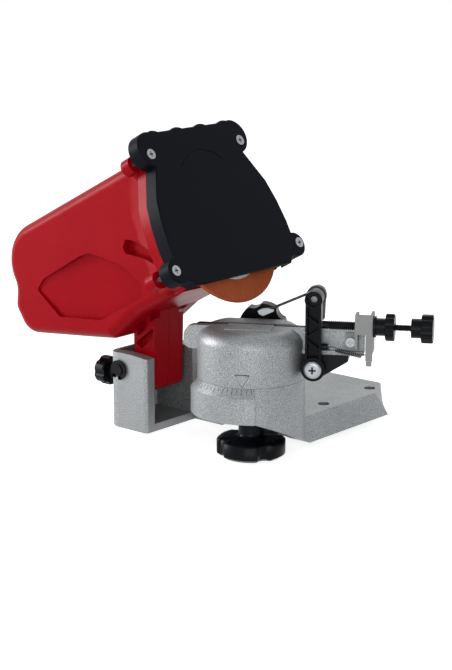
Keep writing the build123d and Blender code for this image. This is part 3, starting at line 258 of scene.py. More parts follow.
# Acetal of the feed bracket, moulded in pale grey: a waxy half-matt skin
GREY_ACETAL = Finish("pale_grey_acetal_moulded", "9B9D9C", "929493", 0.5, Grain.MOULDED, 0.4, 0.01)
# Drawn spring wire with a dark patented skin
SPRING_WIRE = Finish("patented_spring_wire", "3A3C40", "2C2E31", 0.35, Grain.ROLLED, 0.3, 0.004,
                     metallic=0.6)
# Corundum grit in a vitrified bond: brick brown, dead matt, with grains that catch the light
CORUNDUM = Finish("vitrified_corundum", "B85E3A", "A95230", 0.93, Grain.GRIT, 0.4, 0.12,
                  speckle=0.25, specular=0.15)
# Blotter that spreads the flange's pressure: white soft paper
BLOTTER = Finish("white_blotting_paper", "EFEFEC", "E4E4E0", 0.9, Grain.PAPER, 0.25, 0.01)
# Machine steel of the spindle, laminations and bearings: ground bright, with fine marks one way
MACHINE_STEEL = Finish("ground_machine_steel", "85888C", "74777B", 0.32, Grain.ROLLED, 0.3, 0.004,
                       metallic=1.0)
# Commutator copper with a brown running skin
COPPER = Finish("commutator_copper", "B8714B", "8F5134", 0.35, Grain.ROLLED, 0.3, 0.004, metallic=1.0)
# Nylon fan in its natural colour: milky and half matt
NATURAL_NYLON = Finish("natural_nylon_moulded", "D9D6CC", "CFCBC0", 0.45, Grain.MOULDED, 0.4, 0.006)
# Rubber of the cord gland: dead black, with hardly a highlight
GLAND_RUBBER = Finish("black_gland_rubber", "121212", "191919", 0.7, Grain.MOULDED, 0.4, 0.01,
                      specular=0.25)
# Polycarbonate rocker, moulded in a polished tool, so it is the one glossy red
RED_ROCKER = Finish("red_rocker_polycarbonate", "B3101A", "A60D17", 0.2, Grain.MOULDED, 0.4, 0.002)
# Painted shade on the floor of an engraved or moulded line, which only shade fills
ENGRAVED_SHADE = Finish("engraved_line_painted_shade", "5A5D5F", "4E5153", 0.6, Grain.CAST, 0.3, 0.01, metallic=0.4)


class Paints:
    """Builds each finish once, when it is first asked for."""

    def __init__(self) -> None:
        """Start with no materials made."""
        self._made: dict[str, bpy.types.Material] = {}

    def of(self, finish: Finish) -> bpy.types.Material:
        """Return the material of a finish.

        Args:
            finish: The finish to look up.

        Returns:
            Its material.
        """
        if finish.name not in self._made:
            self._made[finish.name] = finish.build()
        return self._made[finish.name]


PAINTS = Paints()


# ---------------------------------------------------------------- shared making
def body_of_node(node: str) -> str:
    """Return the name of the body that a CAD node rides on."""
    return next(b for b, nodes in frame["record"]["behaviour"]["bodies"].items() if node in nodes)


def dress(node: str, finish: Finish) -> None:
    """Give a CAD node that keeps its own mesh its finish.

    Args:
        node: The CAD node.
        finish: Its material.
    """
    cad = frame["nodes"][node]
    if not cad.material_slots:
        cad.data.materials.append(PAINTS.of(finish))
    for slot in cad.material_slots:
        slot.material = PAINTS.of(finish)
    LOG.info("dressed %s in %s", node, finish.name)


def make_piece(name: str, mesh: bmesh.types.BMesh, finish: Finish, body: str,
               stands_for: Sequence[str] = (), sharp_deg: float = 32.0) -> bpy.types.Object:
    """Turn a finished bmesh, already in the row frame, into a piece of the object.

    Args:
        name: The piece's name.
        mesh: The mesh, which is freed.
        finish: Its material.
        stands_for: CAD nodes that it replaces.
        sharp_deg: Edges that turn more than this stay sharp in shading.

    Returns:
        The new object.
    """
    data = bpy.data.meshes.new(name)
    mesh.to_mesh(data)
    mesh.free()
    for polygon in data.polygons:
        polygon.use_smooth = True
    data.set_sharp_from_angle(angle=radians(sharp_deg))
    data.materials.append(PAINTS.of(finish))
    piece = bpy.data.objects.new(name, data)
    bpy.context.scene.collection.objects.link(piece)
    if body:
        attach(piece, body)
    if stands_for:
        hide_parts(*stands_for)
    LOG.info("made %s on %s", name, body or "a blend")
    return piece


def soften(node: str, finish: Finish, width_mm: float, segments: int = 2, limit_deg: float = 34.0,
           sharp_deg: float = 40.0,
           edit: Callable[[bmesh.types.BMesh], None] | None = None) -> bpy.types.Object:
    """Stand a merged copy with rounded edges in for a CAD node.

    Args:
        node: The CAD node.
        finish: The copy's material.
        width_mm: Width of the rounding.
        segments: Faces across the rounding.
        limit_deg: Edges that turn more than this are rounded.
        sharp_deg: Edges that turn more than this stay sharp in shading.
        edit: A change made to the copy before its edges are rounded.

    Returns:
        The new piece.
    """
    mesh = bmesh.new()
    mesh.from_mesh(frame["nodes"][node].data)
    if edit:
        edit(mesh)
    bmesh.ops.remove_doubles(mesh, verts=mesh.verts, dist=WELD_MM * MM)
    bmesh.ops.dissolve_limit(mesh, angle_limit=radians(FLAT_DEG), verts=mesh.verts, edges=mesh.edges,
                             use_dissolve_boundaries=False)
    limit = radians(limit_deg)
    edges = [e for e in mesh.edges if e.is_manifold and e.calc_face_angle(0.0) > limit]
    bmesh.ops.bevel(mesh, geom=edges, offset=width_mm * MM, offset_type="OFFSET", segments=segments,
                    profile=0.5, affect="EDGES", clamp_overlap=True, material=-1, loop_slide=True)
    piece = make_piece(f"{node}_soft", mesh, finish, body_of_node(node), [node],
                       sharp_deg)
    # large flat faces keep a flat shade next to their rounded edges
    piece.modifiers.new("face_weighted_normals", "WEIGHTED_NORMAL").keep_sharp = True
    return piece


def helix(mesh: bmesh.types.BMesh, profile: Sequence[tuple[float, float]], pitch: float, turns: float,
          steps: int = 20) -> None:
    """Wind a closed profile round +X from x = 0, with both ends closed.

    Args:
        mesh: The bmesh that gets it.
        profile: Corners as (distance along X, distance from the axis).
        pitch: Advance in one turn.
        turns: Number of turns.
        steps: Steps in one turn.
    """
    start = [mesh.verts.new((x, 0.0, r)) for x, r in profile]
    face = mesh.faces.new(start)
    count = max(int(round(turns * steps)), 2)
    bmesh.ops.spin(mesh, geom=[face, *face.edges, *start], cent=(0, 0, 0), axis=(1, 0, 0),
                   dvec=(pitch * turns / count, 0, 0), angle=2 * pi * turns, steps=count,
                   use_merge=False, use_duplicate=False)
    bmesh.ops.recalc_face_normals(mesh, faces=mesh.faces)


def open_ring(radii: tuple[float, float], faces: tuple[float, float], gap_deg: float,
              gap_at: float) -> bmesh.types.BMesh:
    """Make a flat ring about the Y axis with a gap in it.

    Args:
        radii: Inner and outer radius.
        faces: Front and back y.
        gap_deg: Width of the gap.
        gap_at: Where the gap's middle is, from +Z towards +X.

    Returns:
        The ring.
    """
    mesh = bmesh.new()
    section = [(faces[0], radii[0]), (faces[1], radii[0]), (faces[1], radii[1]), (faces[0], radii[1])]
    helix(mesh, section, pitch=0.0, turns=1 - gap_deg / 360, steps=60)
    # the section is wound about X from +Z towards -Y, then X is turned to Y
    bmesh.ops.rotate(mesh, cent=(0, 0, 0), verts=mesh.verts, matrix=Matrix.Rotation(radians(90), 3, "Z"))
    bmesh.ops.rotate(mesh, cent=(0, 0, 0), verts=mesh.verts,
                     matrix=Matrix.Rotation(radians(gap_at + gap_deg / 2), 3, "Y"))
    return mesh


def painted_shade_cross(mesh: bmesh.types.BMesh, space: Matrix, width: float, arm: float,
                depth: float = 0.1) -> None:
    """Add a cross of painted shade on the floor of a cross recess, flat across the local Z axis.

    Args:
        mesh: The bmesh that gets it.
        space: Where the recess is and how it is turned.
        width: Width of the whole cross.
        arm: Width of one arm.
        depth: Thickness of the floor.
    """
    for sides in ((width, arm, depth, 1.0), (arm, width, depth, 1.0)):
        bmesh.ops.create_cube(mesh, size=1.0, matrix=space @ Matrix.Diagonal(sides))


def bar(mesh: bmesh.types.BMesh, radius: float, start: Vector, end: Vector, segments: int = 24) -> None:
    """Add a closed round bar between two points.

    Args:
        mesh: The bmesh that gets it.
        radius: The bar's radius.
        start: Middle of one end.
        end: Middle of the other.
        segments: Sides of the bar.
    """
    run = Vector(end) - Vector(start)
    turn = run.to_track_quat("Z", "Y").to_matrix().to_4x4()
    bmesh.ops.create_cone(mesh, cap_ends=True, segments=segments, radius1=radius, radius2=radius,
                          depth=run.length,
                          matrix=Matrix.Translation((Vector(start) + Vector(end)) / 2) @ turn)


def wire(mesh: bmesh.types.BMesh, radius: float, points: Sequence[Vector], segments: int = 10) -> None:
    """Sweep a round wire along points and close its ends.

    Args:
        mesh: The bmesh that gets it.
        radius: The wire's radius.
        points: Points along the wire's middle.
        segments: Sides of the wire.
    """
    ring: list[bmesh.types.BMVert] = []
    for i, point in enumerate(points):
        ahead = Vector(points[min(i + 1, len(points) - 1)]) - Vector(points[max(i - 1, 0)])
        turn = ahead.to_track_quat("Z", "Y").to_matrix().to_4x4()
        made = bmesh.ops.create_circle(mesh, cap_ends=False, radius=radius, segments=segments,
                                       matrix=Matrix.Translation(point) @ turn)["verts"]
        if ring:
            edges = [e for v in ring + made for e in v.link_edges if e.is_boundary or e.is_wire]
            bmesh.ops.bridge_loops(mesh, edges=list(dict.fromkeys(
                e for e in edges if all(v in ring for v in e.verts) or all(v in made for v in e.verts))))
        ring = made
    bmesh.ops.holes_fill(mesh, edges=[e for e in mesh.edges if e.is_boundary], sides=segments)
    bmesh.ops.recalc_face_normals(mesh, faces=mesh.faces)


def placed(mesh: bmesh.types.BMesh, space: Matrix) -> bmesh.types.BMesh:
    """Move a bmesh into the row frame."""
    bmesh.ops.transform(mesh, matrix=space, verts=mesh.verts)
    return mesh


# ---------------------------------------------------------------- sub-assemblies
@dataclass
class Base:
    """Bench plate, swivel boss with the angle scale, head bracket, depth stop and pivot."""

    lug_r: float = 45.5
    boss_r: float = 40.3
    boss_top: float = 54.0
    scale_drop: float = 6.5
    scale_span: int = 40
    scale_step: int = 5
    line_start: float = 1.0
    long_line: float = 4.2
    short_line: float = 2.6
    line_width: float = 0.45
    line_depth: float = 0.12
    lug_middle: float = -90.0
    pivot_at: tuple[float, float] = (-106.0, 46.5)
    ring_gap: float = 28.0
    ring_gap_at: float = 194.0

    def build(self) -> None:
        """Make and dress the base."""
        soften("base_casting", CAST_ALUMINIUM, width_mm=0.9, limit_deg=30)
        self.scale()
        self.pivot()
        dress("pivot_clip", SPRING_WIRE)
        dress("depth_stop_nut", ZINC_STEEL)
        dress("depth_stop_pad", ZINC_STEEL)
        dress("depth_stop_screw", BLACK_OXIDE_AND_RECESS_SHADE)
        soften("depth_stop_knob", KNOB_PLASTIC, width_mm=0.5)
        self.head_spring()

    def scale(self) -> None:
        """Cut the angle scale's lines as thin bars of painted shade sunk in the lug's slanted band."""
        mesh = bmesh.new()
        run = self.lug_r - self.boss_r
        slope = Vector((run, 0, -self.scale_drop)).normalized()
        outward = Vector((self.scale_drop, 0, run)).normalized()
        for angle in range(-self.scale_span, self.scale_span + 1, self.scale_step):
            length = self.long_line if angle % 10 == 0 else self.short_line
            middle = Vector((self.boss_r, 0, self.boss_top)) + slope * (self.line_start + length / 2)
            turn = Matrix.Rotation(radians(self.lug_middle + angle), 4, "Z")
            along = Matrix((slope, Vector((0, 1, 0)), outward)).transposed().to_4x4()
            shape = Matrix.Diagonal((length, self.line_width, self.line_depth, 1.0))
            bmesh.ops.create_cube(mesh, size=1.0, matrix=turn @ Matrix.Translation(middle) @ along @ shape)
        # the lines' dark colour is painted shade of the engraving
        make_piece("angle_scale", placed(mesh, machine_space()), ENGRAVED_SHADE, "base")

    def pivot(self) -> None:
        """Make the pivot pin with a narrower stepped nose at its end and the open retaining ring that it
        wears in front.
        """
        x, z = self.pivot_at
        pin_r, nose_r, sides = 5.0, 4.4, 48
        nose_tip, shoulder, nose_root, back = -34.0, -33.2, -33.1, 36.0
        pin = bmesh.new()
        bar(pin, pin_r, Vector((x, shoulder, z)), Vector((x, back, z)), sides)
        bar(pin, nose_r, Vector((x, nose_tip, z)), Vector((x, nose_root, z)), sides)
        make_piece("pivot_pin_turned", placed(pin, machine_space()), BLACK_OXIDE_AND_RECESS_SHADE, "base",
                   ["pivot_pin"])
        ring_radii, ring_faces, ear_at, ear_r = (4.9, 7.6), (-33.0, -31.6), 6.3, 1.7
        ring = open_ring(ring_radii, ring_faces, self.ring_gap, self.ring_gap_at)
        for side in (-1, 1):
            angle = radians(self.ring_gap_at + side * self.ring_gap)
            front, rear = (Vector((ear_at * sin(angle), y, ear_at * cos(angle))) for y in ring_faces)
            bar(ring, ear_r, front, rear, segments=20)
        bmesh.ops.translate(ring, vec=(x, 0, z), verts=ring.verts)
        make_piece("pivot_retaining_ring", placed(ring, machine_space()), BLACK_OXIDE_AND_RECESS_SHADE, "base")

    def head_spring(self) -> None:
        """Wind the torsion spring that lifts the head."""
        mesh = bmesh.new()
        wire_r, mean_r, pitch, turns, start_y = 0.8, 8.0, 1.62, 2.6, 17.1
        helix(mesh, circle_profile(wire_r, mean_r, sides=8), pitch, turns, steps=32)
        turn = Matrix.Rotation(radians(90), 4, "Z")
        x, z = self.pivot_at
        bmesh.ops.transform(mesh, matrix=Matrix.Translation((x, start_y, z)) @ turn, verts=mesh.verts)
        make_piece("head_torsion_spring", placed(mesh, machine_space()), SPRING_WIRE, "base",
                   ["head_spring"])


def circle_profile(radius: float, distance: float, sides: int) -> list[tuple[float, float]]:
    """Return a round wire's section at a distance from the axis, as (along, out) corners."""
    return [(radius * cos(2 * pi * i / sides), distance + radius * sin(2 * pi * i / sides))
            for i in range(sides)]


@dataclass
class Table:
    """Swivelling table with the chain vice and its lock."""

    drum_r: float = 40.6
    pointer_half: float = 5.4
    pointer_top: float = 64.3
    pointer_tip: float = 54.7
    pointer_line_r: float = 0.22
    knob_r: float = 26.0
    knob_t: float = 14.0
    knob_low: float = -7.5
    knob_turn: float = -71.0
    knob_lobes: int = 4
    knob_sides: int = 180
    knob_sharp_deg: float = 50.0
    grip_deg: float = 28.0
    grip_share: float = 0.34
    neck_r: float = 9.5
    neck_top: float = 25.2
    bore_r: float = 5.05

    def build(self) -> None:
        """Dress the table's parts."""
        soften("rotary_table", CAST_ALUMINIUM, width_mm=1.1, limit_deg=30)
        self.pointer_outline()
        soften("moving_jaw", BLACK_OXIDE_AND_RECESS_SHADE, width_mm=0.5)
        for node in ("guide_pins", "clamp_screw", "table_stud", "lock_washer"):
            dress(node, ZINC_STEEL)
        soften("clamp_knob", KNOB_PLASTIC, width_mm=0.6)
        self.lock_knob()

    def pointer_outline(self) -> None:
        """Draw the moulded step round the triangular pointer as a thin line of painted shade on the drum."""
        mesh = bmesh.new()
        corners = [(-self.pointer_half, self.pointer_top), (0.0, self.pointer_tip),
                   (self.pointer_half, self.pointer_top)]
        steps = 6
        for (x0, z0), (x1, z1) in zip(corners, corners[1:] + corners[:1]):
            points = [(x0 + (x1 - x0) * i / steps, z0 + (z1 - z0) * i / steps) for i in range(steps + 1)]
            wire(mesh, self.pointer_line_r,
                 [Vector((x, -(self.drum_r ** 2 - x * x) ** 0.5, z)) for x, z in points], segments=6)
        make_piece("pointer_outline", placed(mesh, table_space()), ENGRAVED_SHADE, "table")

    def lock_knob(self) -> None:
        """Make the big lock knob: four broad lobes, shallow grips between them and a flared neck."""
        edge, low, high = 2.2, self.knob_low, self.knob_low + self.knob_t
        # rows of height, share of the lobed outline, and inset from it
        levels = [(low + 1.0, 0.55, 0.0), (low, 0.72, 0.0), (low, 1.0, 3.2), (low + edge, 1.0, 0.0),
                  (high - edge, 1.0, 0.0), (high - 0.3, 1.0, 2.2), (high, 0.9, 2.6), (high + 0.2, 0.52, 0.0)]
        # rows of height and radius
        neck = [(high + 0.7, self.neck_r + 1.6), (high + 2.0, self.neck_r + 0.4), (high + 3.6, self.neck_r),
                (self.neck_top, self.neck_r), (self.neck_top, self.bore_r)]
        mesh = bmesh.new()
        previous: list[bmesh.types.BMEdge] = []
        for z, share, inset in levels + [(z, 0.0, -radius) for z, radius in neck]:
            made = bmesh.ops.create_circle(mesh, cap_ends=False, radius=1.0, segments=self.knob_sides,
                                           matrix=Matrix.Translation((0, 0, z)))["verts"]
            for vert in made:
                spoke = vert.co.xy.normalized()
                vert.co.xy = spoke * (self.grip(degrees(atan2(spoke.y, spoke.x))) * share - inset)
            edges = list(dict.fromkeys(e for v in made for e in v.link_edges))
            if previous:
                bmesh.ops.bridge_loops(mesh, edges=previous + edges)
            previous = edges
        bmesh.ops.holes_fill(mesh, edges=[e for e in mesh.edges if e.is_boundary], sides=0)
        bmesh.ops.recalc_face_normals(mesh, faces=mesh.faces)
        make_piece("lock_knob_moulded", placed(mesh, machine_space()), KNOB_PLASTIC, "lock",
                   ["lock_knob"], self.knob_sharp_deg)

    def grip(self, angle: float) -> float:
        """Find the knob's radius at an angle: round lobes with an arc cut between each pair.

        Args:
            angle: Degrees from +X towards +Y.

        Returns:
            The radius in millimetres.
        """
        tip, lobe = self.knob_r, 360.0 / self.knob_lobes
        swing = (angle - self.knob_turn) % lobe - lobe / 2
        half = radians(self.grip_deg / 2)
        notch_r = self.grip_share * tip
        reach = tip * cos(half) + (notch_r ** 2 - (tip * sin(half)) ** 2) ** 0.5
        away = reach * sin(radians(abs(swing)))
        if away >= notch_r:
            return tip
        return min(tip, reach * cos(radians(swing)) - (notch_r ** 2 - away ** 2) ** 0.5)


@dataclass
class ToothStop:
    """Lever, pawl and the fine feed that sets the chain's position."""

    rod_y: float = -12.5
    rod_z: float = 98.0
    lever_x: float = 48.6
    pivot_z: float = 65.2
    pin_front: float = -15.0
    pin_set_back: float = 3.5
    recess_y: float = -20.1
    cap_x: float = 54.8
    journal_r: float = 1.5
    journal_start: float = 1.7
    thread_start: float = 4.1
    coarse_pitch: float = 1.5
    fine_pitch: float = 1.0
    thread_depth: float = 0.55
    thick_end: float = 106.1
    thin_end: float = 131.6
    rod_r: float = 3.5
    thin_r: float = 2.5
    spring_start: Vector = field(default_factory=lambda: Vector((59.5, -13.4, 80.7)))
    spring_end: Vector = field(default_factory=lambda: Vector((88.8, -13.4, 74.6)))

    def build(self) -> None:
        """Make and dress the tooth stop."""
        soften("stop_lever", KNOB_PLASTIC, width_mm=0.35)
        soften("stop_arm", BLACK_OXIDE_AND_RECESS_SHADE, width_mm=0.4)
        soften("stop_bracket", GREY_ACETAL, width_mm=0.35)
        soften("pawl_carrier", ZINC_CASTING, width_mm=0.4, edit=self.sink_pin)
        self.screw_shade()
        soften("lever_screw", ZINC_STEEL, width_mm=0.2)
        soften("bracket_screw", ZINC_STEEL, width_mm=0.2)
        for node in ("pivot_nut", "stop_arm_screws"):
            dress(node, ZINC_STEEL)
        for node in ("feed_cap", "feed_washer"):
            dress(node, KNOB_PLASTIC)
        soften("pawl_arm", SPRING_WIRE, width_mm=0.15)
        soften("pawl_tip", ZINC_STEEL, width_mm=0.3)
        soften("lock_nut_knob", KNOB_PLASTIC, width_mm=0.45)
        soften("feed_knob", KNOB_PLASTIC, width_mm=0.45)
        self.feed_screw()
        self.lever_spring()

    def sink_pin(self, mesh: bmesh.types.BMesh) -> None:
        """Set the end of the sleeve's pin back into the lever's bore.

        Args:
            mesh: The sleeve, in the row frame.
        """
        back = table_space().inverted()
        step = table_space().to_3x3() @ Vector((0, self.pin_set_back, 0))
        for vert in mesh.verts:
            if (back @ vert.co).y < self.pin_front:
                vert.co += step

    def screw_shade(self) -> None:
        """Lay a cross of painted shade on the floor of the pivot screw's cross recess."""
        mesh = bmesh.new()
        facing = Matrix.Rotation(radians(90), 4, "X")
        floor = Matrix.Translation((self.lever_x, self.recess_y, self.pivot_z)) @ facing
        # this dark cross in the black oxide colour is painted shade, not a part of the screw
        painted_shade_cross(mesh, floor, width=5.4, arm=1.2)
        make_piece("pivot_screw_recess_painted_shade", placed(mesh, table_space()), BLACK_OXIDE_AND_RECESS_SHADE, "table")

    def feed_screw(self) -> None:
        """Cut real threads on the feed screw: coarse on the thick part, fine on the thin."""
        mesh = bmesh.new()
        start, shoulder, end, overlap = self.cap_x + self.thread_start, self.thick_end, self.thin_end, 0.2
        parts = ((self.rod_r, start, shoulder, self.coarse_pitch),
                 (self.thin_r, shoulder - overlap, end, self.fine_pitch))
        bar(mesh, self.journal_r, Vector((self.cap_x + self.journal_start, 0, 0)),
            Vector((start + overlap, 0, 0)))
        for radius, x0, x1, pitch in parts:
            depth = pitch * self.thread_depth
            foot = radius - depth * 1.2
            core = bmesh.new()
            bar(core, radius - depth, Vector((x0, 0, 0)), Vector((x1, 0, 0)))
            ridge = bmesh.new()
            # a ridge in shares of the pitch, with its foot sunk in the core
            section = [(0.06 * pitch, foot), (0.44 * pitch, radius), (0.56 * pitch, radius),
                       (0.94 * pitch, foot)]
            helix(ridge, section, pitch, turns=(x1 - x0) / pitch - 1, steps=20)
            bmesh.ops.translate(ridge, vec=(x0, 0, 0), verts=ridge.verts)
            for part in (core, ridge):
                join(mesh, part)
        bmesh.ops.translate(mesh, vec=(0, self.rod_y, self.rod_z), verts=mesh.verts)
        make_piece("feed_screw_threaded", placed(mesh, table_space()), BLACK_OXIDE_AND_RECESS_SHADE, "feed",
                   ["feed_screw"])

    def lever_spring(self) -> None:
        """Wind the extension spring with a hook at each end."""
        mesh = bmesh.new()
        run = self.spring_end - self.spring_start
        length, coil_r, wire_r, hook, pitch, held = run.length, 1.6, 0.38, 5.2, 1.5, 0.12
        turns = (length - 2 * hook) / pitch
        helix(mesh, circle_profile(wire_r, coil_r, sides=6), pitch, turns, steps=14)
        bmesh.ops.translate(mesh, vec=(hook, 0, 0), verts=mesh.verts)
        for sign, x in ((1, hook), (-1, length - hook)):
            points = [Vector((x - sign * (hook - coil_r + coil_r * sin(a)), 0, coil_r * cos(a)))
                      for a in [pi * i / 8 for i in range(9)]]
            hook_mesh = bmesh.new()
            wire(hook_mesh, wire_r, [Vector((x, 0, coil_r))] + points, segments=8)
            join(mesh, hook_mesh)
        turn = run.to_track_quat("X", "Z").to_matrix().to_4x4()
        bmesh.ops.transform(mesh, matrix=Matrix.Translation(self.spring_start) @ turn, verts=mesh.verts)
        spring = make_piece("lever_extension_spring", placed(mesh, table_space()), SPRING_WIRE, "",
                            ["lever_spring"])
        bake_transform(spring)


def join(target: bmesh.types.BMesh, part: bmesh.types.BMesh) -> None:
    """Copy one bmesh into another and free it.

    Args:
        target: The bmesh that gets it.
        part: The bmesh that is copied and freed.
    """
    data = bpy.data.meshes.new("joined")
    part.to_mesh(data)
    part.free()
    target.from_mesh(data)
    bpy.data.meshes.remove(data)


@dataclass
class Head:
    """Motor housing, guard, switch and the grinding disc with its motor."""

    label_r: float = 36.5
    label_cad_r: float = 31.0
    shell_half: float = 40.0
    panel_depth: float = 5.0
    panel_start: tuple[float, float] = (-165.0, 22.0)
    panel_end: tuple[float, float] = (-62.0, -20.0)
    panel_depths: tuple[float, float] = (1.6, 9.2)
    panel_along: tuple[float, float] = (-169.0, -56.0)
    panel_up: tuple[float, float] = (-26.0, 30.0)
    panel_slack: float = 0.03
    guard_screws_at: tuple[tuple[float, float], ...] = ((50.0, 64.0), (70.6, -24.0))
    guard_recess_out: float = 8.1

    def build(self) -> None:
        """Make and dress the head."""
        for half in ("housing_left", "housing_right"):
            soften(half, RED_POLYAMIDE, width_mm=1.0, segments=3, limit_deg=28, edit=self.slope_panel)
        soften("guard_cover", BLACK_POLYAMIDE, width_mm=1.0, segments=3, limit_deg=28)
        soften("guard_screws", ZINC_STEEL, width_mm=0.15)
        self.guard_screw_shade()
        soften("case_screws", ZINC_STEEL, width_mm=0.15)
        soften("switch_frame", BLACK_POLYAMIDE, width_mm=0.5)
        soften("switch_rocker", RED_ROCKER, width_mm=0.3)
        soften("cable_gland", GLAND_RUBBER, width_mm=0.4)
        soften("grinding_disc", CORUNDUM, width_mm=0.3)
        soften("disc_label", BLOTTER, width_mm=0.03, edit=self.widen_label)
        soften("outer_flange", ZINC_STEEL, width_mm=0.25)
        for node in ("inner_flange", "disc_screw"):
            dress(node, ZINC_STEEL)
        for node in ("motor_shaft", "motor_rotor", "motor_stator", "rear_bearing", "front_bearing"):
            dress(node, MACHINE_STEEL)
        for node in ("commutator", "brush_holders"):
            dress(node, COPPER)
        dress("cooling_fan", NATURAL_NYLON)

    def widen_label(self, mesh: bmesh.types.BMesh) -> None:
        """Bring the blotter out to its full radius on the disc.

        Args:
            mesh: The blotter, in the row frame.
        """
        space = head_space()
        back = space.inverted()
        for vert in mesh.verts:
            place = back @ vert.co
            spoke = Vector((place.x, place.y - SPINDLE_V))
            spoke *= self.label_r / self.label_cad_r
            vert.co = space @ Vector((spoke.x, spoke.y + SPINDLE_V, place.z))

    def slope_panel(self, mesh: bmesh.types.BMesh) -> None:
        """Tilt the floor of the grip panel: shallow at the tail, deepest under the motor's nose.

        Args:
            mesh: One half of the housing, in the row frame.
        """
        space = head_space()
        back = space.inverted()
        run = Vector(self.panel_end) - Vector(self.panel_start)
        (tail, nose), (low, high) = self.panel_along, self.panel_up
        for vert in mesh.verts:
            place = back @ vert.co
            across, up, along = place
            off_floor = abs(abs(across) - self.shell_half + self.panel_depth)
            if tail < along < nose and low < up < high and off_floor < self.panel_slack:
                share = (Vector((along, up)) - Vector(self.panel_start)).dot(run) / run.length_squared
                depth = self.panel_depths[0] + (self.panel_depths[1] - self.panel_depths[0]) * share
                place.x = (self.shell_half - depth) * (1 if across > 0 else -1)
                vert.co = space @ place

    def guard_screw_shade(self) -> None:
        """Lay crosses of painted shade on the floors of the cross recesses of the four guard screws."""
        mesh = bmesh.new()
        for x, v in self.guard_screws_at:
            for side in (-1, 1):
                floor = Matrix.Translation((side * x, v, self.guard_recess_out))
                # each dark cross in the black oxide colour is painted shade, not a part of the screw
                painted_shade_cross(mesh, floor, width=4.2, arm=0.9)
        make_piece("guard_screw_recess_painted_shade", placed(mesh, head_space()), BLACK_OXIDE_AND_RECESS_SHADE, "head")


# ---------------------------------------------------------------- studio
def background_rays(tree: bpy.types.NodeTree) -> bpy.types.NodeSocket:
    """Tell the rays that show the white background from those that light the object.

    Args:
        tree: The node tree that asks.

    Returns:
        A socket that is 1 for the first kind and 0 for the second.
    """
    path = add_node(tree, "ShaderNodeLightPath")
    seen = add_node(tree, "ShaderNodeMath", {"operation": "MAXIMUM"},
                    {0: path.outputs["Is Camera Ray"], 1: path.outputs["Is Transmission Ray"]}).outputs[0]
    return add_node(tree, "ShaderNodeMath", {"operation": "MAXIMUM"},
                    {0: seen, 1: path.outputs["Is Glossy Ray"]}).outputs[0]


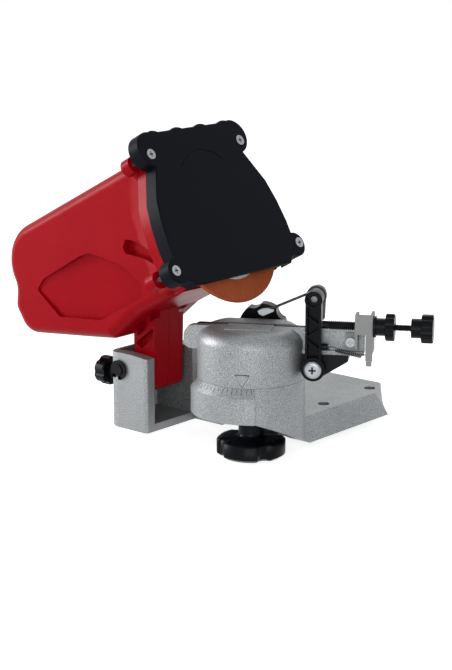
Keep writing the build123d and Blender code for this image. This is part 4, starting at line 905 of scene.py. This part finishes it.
@dataclass
class Studio:
    """Camera, lamps, white surround and the pale floor."""

    azimuth: float = 40.35853
    elevation: float = 13.65798
    distance: float = 1371.17
    focal_px: float = 1856.358
    long_side_px: float = 670.0
    aim_right: float = -18.848
    aim_up: float = -31.293
    aim_height: float = 117.0
    sensor: float = 36.0
    clip: tuple[float, float] = (0.05, 20.0)
    lamp_aim: tuple[float, float, float] = (-0.02, -0.09, 0.1)
    floor_z: float = -8.2
    floor_half: float = 3.0
    floor_paint: tuple[float, float, float, float] = (0.86, 0.86, 0.86, 1)
    floor_roughness: float = 0.9
    floor_glow: float = 0.8
    ambient: float = 0.31

    def camera(self) -> None:
        """Set the camera where the object is seen from."""
        a, e = radians(self.azimuth), radians(self.elevation)
        back = Vector((sin(a) * cos(e), -cos(a) * cos(e), sin(e)))
        right = Vector((cos(a), sin(a), 0.0))
        up = back.cross(right)
        aim = SWIVEL + Vector((0, 0, self.aim_height)) + right * self.aim_right + up * self.aim_up
        data = bpy.data.cameras.new("camera")
        data.sensor_width = self.sensor
        data.lens = self.focal_px / self.long_side_px * self.sensor
        data.clip_start, data.clip_end = self.clip
        camera = bpy.data.objects.new("camera", data)
        camera.location = (aim + back * self.distance) * MM
        camera.rotation_mode = "QUATERNION"
        camera.rotation_quaternion = (-back).to_track_quat("-Z", "Y")
        bpy.context.scene.collection.objects.link(camera)
        bpy.context.scene.camera = camera

    def lamp(self, name: str, place: tuple[float, float, float], size: float, watts: float) -> None:
        """Add a square soft lamp aimed at the middle of the object.

        Args:
            name: The lamp's name.
            place: Where it hangs, in metres.
            size: Its side.
            watts: Its power.
        """
        data = bpy.data.lights.new(name, "AREA")
        data.shape, data.size, data.energy = "SQUARE", size, watts
        lamp = bpy.data.objects.new(name, data)
        lamp.location = place
        lamp.rotation_mode = "QUATERNION"
        lamp.rotation_quaternion = (Vector(self.lamp_aim) - Vector(place)).to_track_quat("-Z", "Y")
        bpy.context.scene.collection.objects.link(lamp)

    def surround(self) -> None:
        """Make a white surround that lights the object only softly."""
        world = bpy.data.worlds.new("surround")
        world.use_nodes = True
        tree = world.node_tree
        background = tree.nodes["Background"]
        strength = add_node(tree, "ShaderNodeMapRange", {"To Min": self.ambient, "To Max": 1.0},
                            {"Value": background_rays(tree)}).outputs[0]
        tree.links.new(strength, background.inputs["Strength"])
        background.inputs["Color"].default_value = (1, 1, 1, 1)
        bpy.context.scene.world = world

    def floor(self) -> None:
        """Lay the pale floor just under the lock knob."""
        mesh = bmesh.new()
        bmesh.ops.create_grid(mesh, x_segments=1, y_segments=1, size=self.floor_half,
                              matrix=Matrix.Translation((0, 0, self.floor_z * MM)))
        data = bpy.data.meshes.new("floor")
        mesh.to_mesh(data)
        mesh.free()
        floor = bpy.data.objects.new("floor", data)
        material = bpy.data.materials.new("pale_paint")
        material.use_nodes = True
        shader = material.node_tree.nodes["Principled BSDF"]
        shader.inputs["Base Color"].default_value = self.floor_paint
        shader.inputs["Roughness"].default_value = self.floor_roughness
        shader.inputs["Specular IOR Level"].default_value = 0.0
        shader.inputs["Emission Color"].default_value = (1, 1, 1, 1)
        glow = add_node(material.node_tree, "ShaderNodeMath", {"operation": "MULTIPLY", 1: self.floor_glow},
                        {0: background_rays(material.node_tree)}).outputs[0]
        material.node_tree.links.new(glow, shader.inputs["Emission Strength"])
        data.materials.append(material)
        bpy.context.scene.collection.objects.link(floor)

    def build(self) -> None:
        """Set up the whole studio."""
        self.camera()
        self.lamp("key_lamp", (-1.4, -0.9, 0.6), 0.7, 19.0)
        self.lamp("fill_lamp", (0.9, -1.3, 0.45), 0.9, 7.5)
        self.lamp("rim_lamp", (-0.7, 0.9, 1.2), 0.7, 2.4)
        self.surround()
        self.floor()
        bpy.context.scene.view_settings.view_transform = "Standard"


def main() -> None:
    """Build every sub-assembly."""
    logging.basicConfig(level=logging.INFO, format="%(name)s: %(message)s")
    for part in (Base(), Table(), ToothStop(), Head(), Studio()):
        part.build()
    bpy.context.view_layer.update()


if __name__ == "__main__":
    main()
